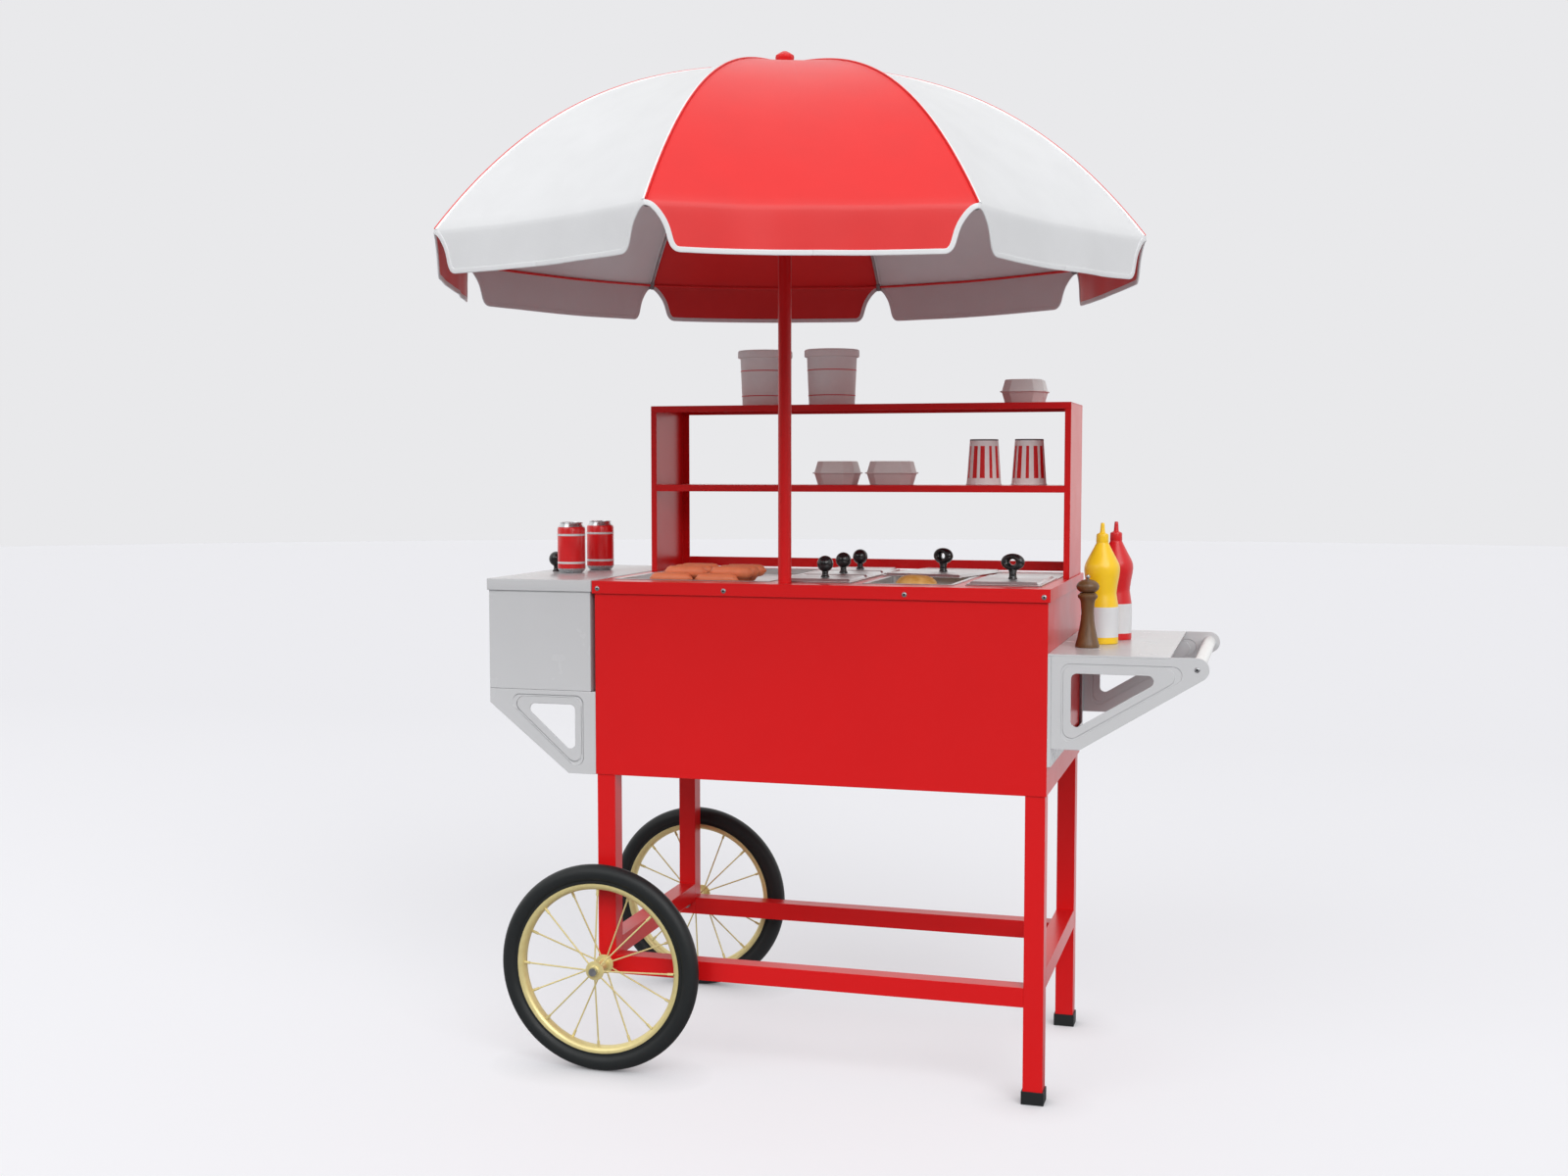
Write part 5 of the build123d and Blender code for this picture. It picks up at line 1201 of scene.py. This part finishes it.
class CART_OT_boxes(bpy.types.Operator):
    """Stands the three foam boxes on the shelves"""
    bl_idname = "cart.boxes"
    bl_label = "Foam boxes"

    def execute(self, context):
        # Length, corner and height of each section: base, tapering sides, seam flange, lid
        outline = ((80, 10, 1.4), (88, 12, 0), (94, 13, 0), (96, 14, 1.4), (109, 15, 26.2), (117, 17, 26.6),
                   (118, 17.5, 28), (117, 17, 29.4), (109, 15, 29.8), (97, 14, 53.6), (95, 13, 55.4),
                   (91, 12, 56), (72, 10, 54.8))
        narrower = 11
        # The corners are cut flat, a little wider than they would be rounded.
        cut = 1.4
        box = stacked([(long, long - narrower, cut * corner, z) for long, corner, z in outline], steps=1)
        soften(box, 1.2, segments=3, degrees=25)
        paint(box, "foamed_polystyrene")
        smooth(box, 40)
        set_out(box, [((x, GOODS_Y, z), (0, 0, math.radians(turn)),
                       f"foam_box_{index}", "cart", "card", "paper_goods")
                      for index, (x, z, turn) in enumerate(BOX_PLACES, 1)])
        return {"FINISHED"}


class CART_OT_cups(bpy.types.Operator):
    """Stands the two paper cups upside down on the middle shelf"""
    bl_idname = "cart.cups"
    bl_label = "Paper cups"

    def execute(self, context):
        rolled = [(39.4, 1.2), (39.8, 0.2), (41.2, 0), (42, 1.4), (41.4, 3.2), (40.4, 3.6)]
        outside = [(40.2 - 7 * i / 8, 3.6 + 100 * i / 8) for i in range(1, 9)]
        base = [(33.2, 106.4), (32.6, 107), (31.6, 106.6), (31.4, 100), (0, 100)]
        inside = [(0, 98.6), (31.8, 98.6), (39.2, 4)]
        cup = turned(rolled + outside + base + inside + [rolled[0]], 64)
        paint(cup, "white_coated_card")
        stripes = 12

        def striped(middle, normal):
            outer = normal.x * middle.x + normal.y * middle.y > 0
            share = math.atan2(middle.y, middle.x) / (2 * math.pi) * stripes
            return outer and 16 * MM < middle.z < 92 * MM and share % 1 < 0.5

        paint(cup, "red_printed_card", striped)
        paint(cup, "grey_board", lambda middle, normal: middle.z > 103.7 * MM)
        set_out(cup, [((x, GOODS_Y, SHELF_MIDDLE), (0, 0, index),
                       f"paper_cup_{index}", "cart", "card", "paper_goods")
                      for index, x in enumerate(CUP_PLACES, 1)])
        return {"FINISHED"}


class CART_OT_mill(bpy.types.Operator):
    """Turns the wooden pepper mill"""
    bl_idname = "cart.mill"
    bl_label = "Pepper mill"

    def execute(self, context):
        body = ((0, 0), (24.6, 0), (25.5, 1), (25.5, 6), (24.2, 10), (20.6, 24), (17, 42), (14.6, 58),
                (13.5, 72), (13.7, 82), (14.6, 94), (16, 101), (18.4, 104.4), (20.6, 107), (21.2, 110),
                (20.6, 113), (18, 115), (17, 116), (17, 117), (0, 117))
        ball = [(24.5 * r, 130.5 + 15.5 * z) for r, z in arc((0, 0), 1, -56, 88, 18)]
        mill = join([turned(body, 48), turned([(0, 116.4)] + ball + [(0, 146)], 48)])
        paint(mill, "turned_hardwood")
        smooth(mill, 40)
        nut = turned(((0, 144), (2, 144), (2, 147.4), (3.8, 148.4), (4.5, 151.5), (3.4, 154.4), (0, 156)), 24)
        paint(nut, "zinc_plated_steel")
        mill = join([mill, nut])
        place(mill, MILL_PLACE)
        settle(mill, "pepper_mill", "cart", "squeeze_plastic", "condiments")
        return {"FINISHED"}


class CART_OT_bottles(bpy.types.Operator):
    """Blows the two squeeze bottles with their label bands, caps and nozzles"""
    bl_idname = "cart.bottles"
    bl_label = "Squeeze bottles"

    def execute(self, context):
        body = ((0, 1.5), (31, 1.5), (34, 0), (36, 1), (36.5, 4), (36.5, 15), (36.5, 76), (36.1, 81),
                (34, 94), (32.2, 105), (31.6, 110), (32.2, 117), (34.6, 134), (37.4, 149), (38.5, 159),
                (38.2, 168), (36.5, 174.4), (33, 182), (24, 199), (14.8, 217), (13.2, 220.4))
        cap = ((13.2, 222), (13.5, 223), (13.2, 236), (12.4, 239.2), (9, 241), (6, 242.4), (5.4, 245),
               (4.4, 258), (4, 262.4), (3, 264), (0, 264))
        for name, plastic, at in BOTTLES:
            bottle = turned(body + cap, 56)
            paint(bottle, plastic)
            paint(bottle, "white_label_film",
                  lambda middle, normal: 15 * MM < middle.z < 79 * MM and off_axis(middle) > 30 * MM)
            smooth(bottle, 40)
            place(bottle, at)
            settle(bottle, name, "cart", "squeeze_plastic", "condiments")
        return {"FINISHED"}


class CART_OT_stage(bpy.types.Operator):
    """Sets the floor, the soft studio light and the camera"""
    bl_idname = "cart.stage"
    bl_label = "Stage"

    def execute(self, context):
        scene = context.scene
        deselect()
        bpy.ops.mesh.primitive_circle_add(vertices=96, radius=FLOOR_RADIUS, fill_type="NGON")
        floor = bpy.context.object
        floor.name = "studio_floor"
        backdrop_paper(scene.cart_colours.floor)
        paint(floor, "studio_backdrop_paper")
        scene.world = studio_room()
        for name, energy, aim in LAMPS:
            lamp = bpy.data.lights.new(name, "SUN")
            lamp.energy = energy
            lamp.angle = LAMP_SPREAD
            light = bpy.data.objects.new(name, lamp)
            light.rotation_euler = Vector(aim).to_track_quat("-Z", "Y").to_euler()
            scene.collection.objects.link(light)
        lens = bpy.data.cameras.new("camera")
        lens.sensor_width = SENSOR
        lens.lens = LENS
        camera = bpy.data.objects.new("camera", lens)
        camera.location = CAMERA_PLACE
        aim = level(CAMERA_YAW + math.pi / 2) * math.cos(CAMERA_PITCH) - UP * math.sin(CAMERA_PITCH)
        camera.rotation_euler = aim.to_track_quat("-Z", "Y").to_euler()
        scene.collection.objects.link(camera)
        scene.camera = camera
        scene.view_settings.view_transform = "Standard"
        return {"FINISHED"}


OPERATORS = (
    CART_OT_finishes, CART_OT_paintwork, CART_OT_canopy, CART_OT_umbrella_ends, CART_OT_wheels,
    CART_OT_lids, CART_OT_cold_lid, CART_OT_screws, CART_OT_sausages, CART_OT_bun, CART_OT_cans,
    CART_OT_tubs, CART_OT_boxes, CART_OT_cups, CART_OT_mill, CART_OT_bottles, CART_OT_stage,
)


class CART_PT_sidebar(bpy.types.Panel):
    """Lists the cart's sizes, colours and pieces"""
    bl_idname = "CART_PT_sidebar"
    bl_label = "Hot Dog Cart"
    bl_space_type = "VIEW_3D"
    bl_region_type = "UI"
    bl_category = "Cart"

    def draw(self, context):
        for group in (context.scene.cart_sizes, context.scene.cart_colours):
            for name in group.bl_rna.properties.keys():
                if name not in ("rna_type", "name"):
                    self.layout.prop(group, name)
        for operator in OPERATORS:
            self.layout.operator(operator.bl_idname)


CLASSES = (CartSizes, CartColours, *OPERATORS, CART_PT_sidebar)


def register():
    for kind in CLASSES:
        bpy.utils.register_class(kind)
    bpy.types.Scene.cart_sizes = bpy.props.PointerProperty(type=CartSizes)
    bpy.types.Scene.cart_colours = bpy.props.PointerProperty(type=CartColours)


def unregister():
    del bpy.types.Scene.cart_sizes
    del bpy.types.Scene.cart_colours
    for kind in reversed(CLASSES):
        bpy.utils.unregister_class(kind)


def main():
    register()
    bpy.ops.cart.finishes()
    bpy.ops.cart.paintwork()
    bpy.ops.cart.canopy()
    bpy.ops.cart.umbrella_ends()
    bpy.ops.cart.wheels()
    bpy.ops.cart.lids()
    bpy.ops.cart.cold_lid()
    bpy.ops.cart.screws()
    bpy.ops.cart.sausages()
    bpy.ops.cart.bun()
    bpy.ops.cart.cans()
    bpy.ops.cart.tubs()
    bpy.ops.cart.boxes()
    bpy.ops.cart.cups()
    bpy.ops.cart.mill()
    bpy.ops.cart.bottles()
    bpy.ops.cart.stage()


if __name__ == "__main__":
    main()
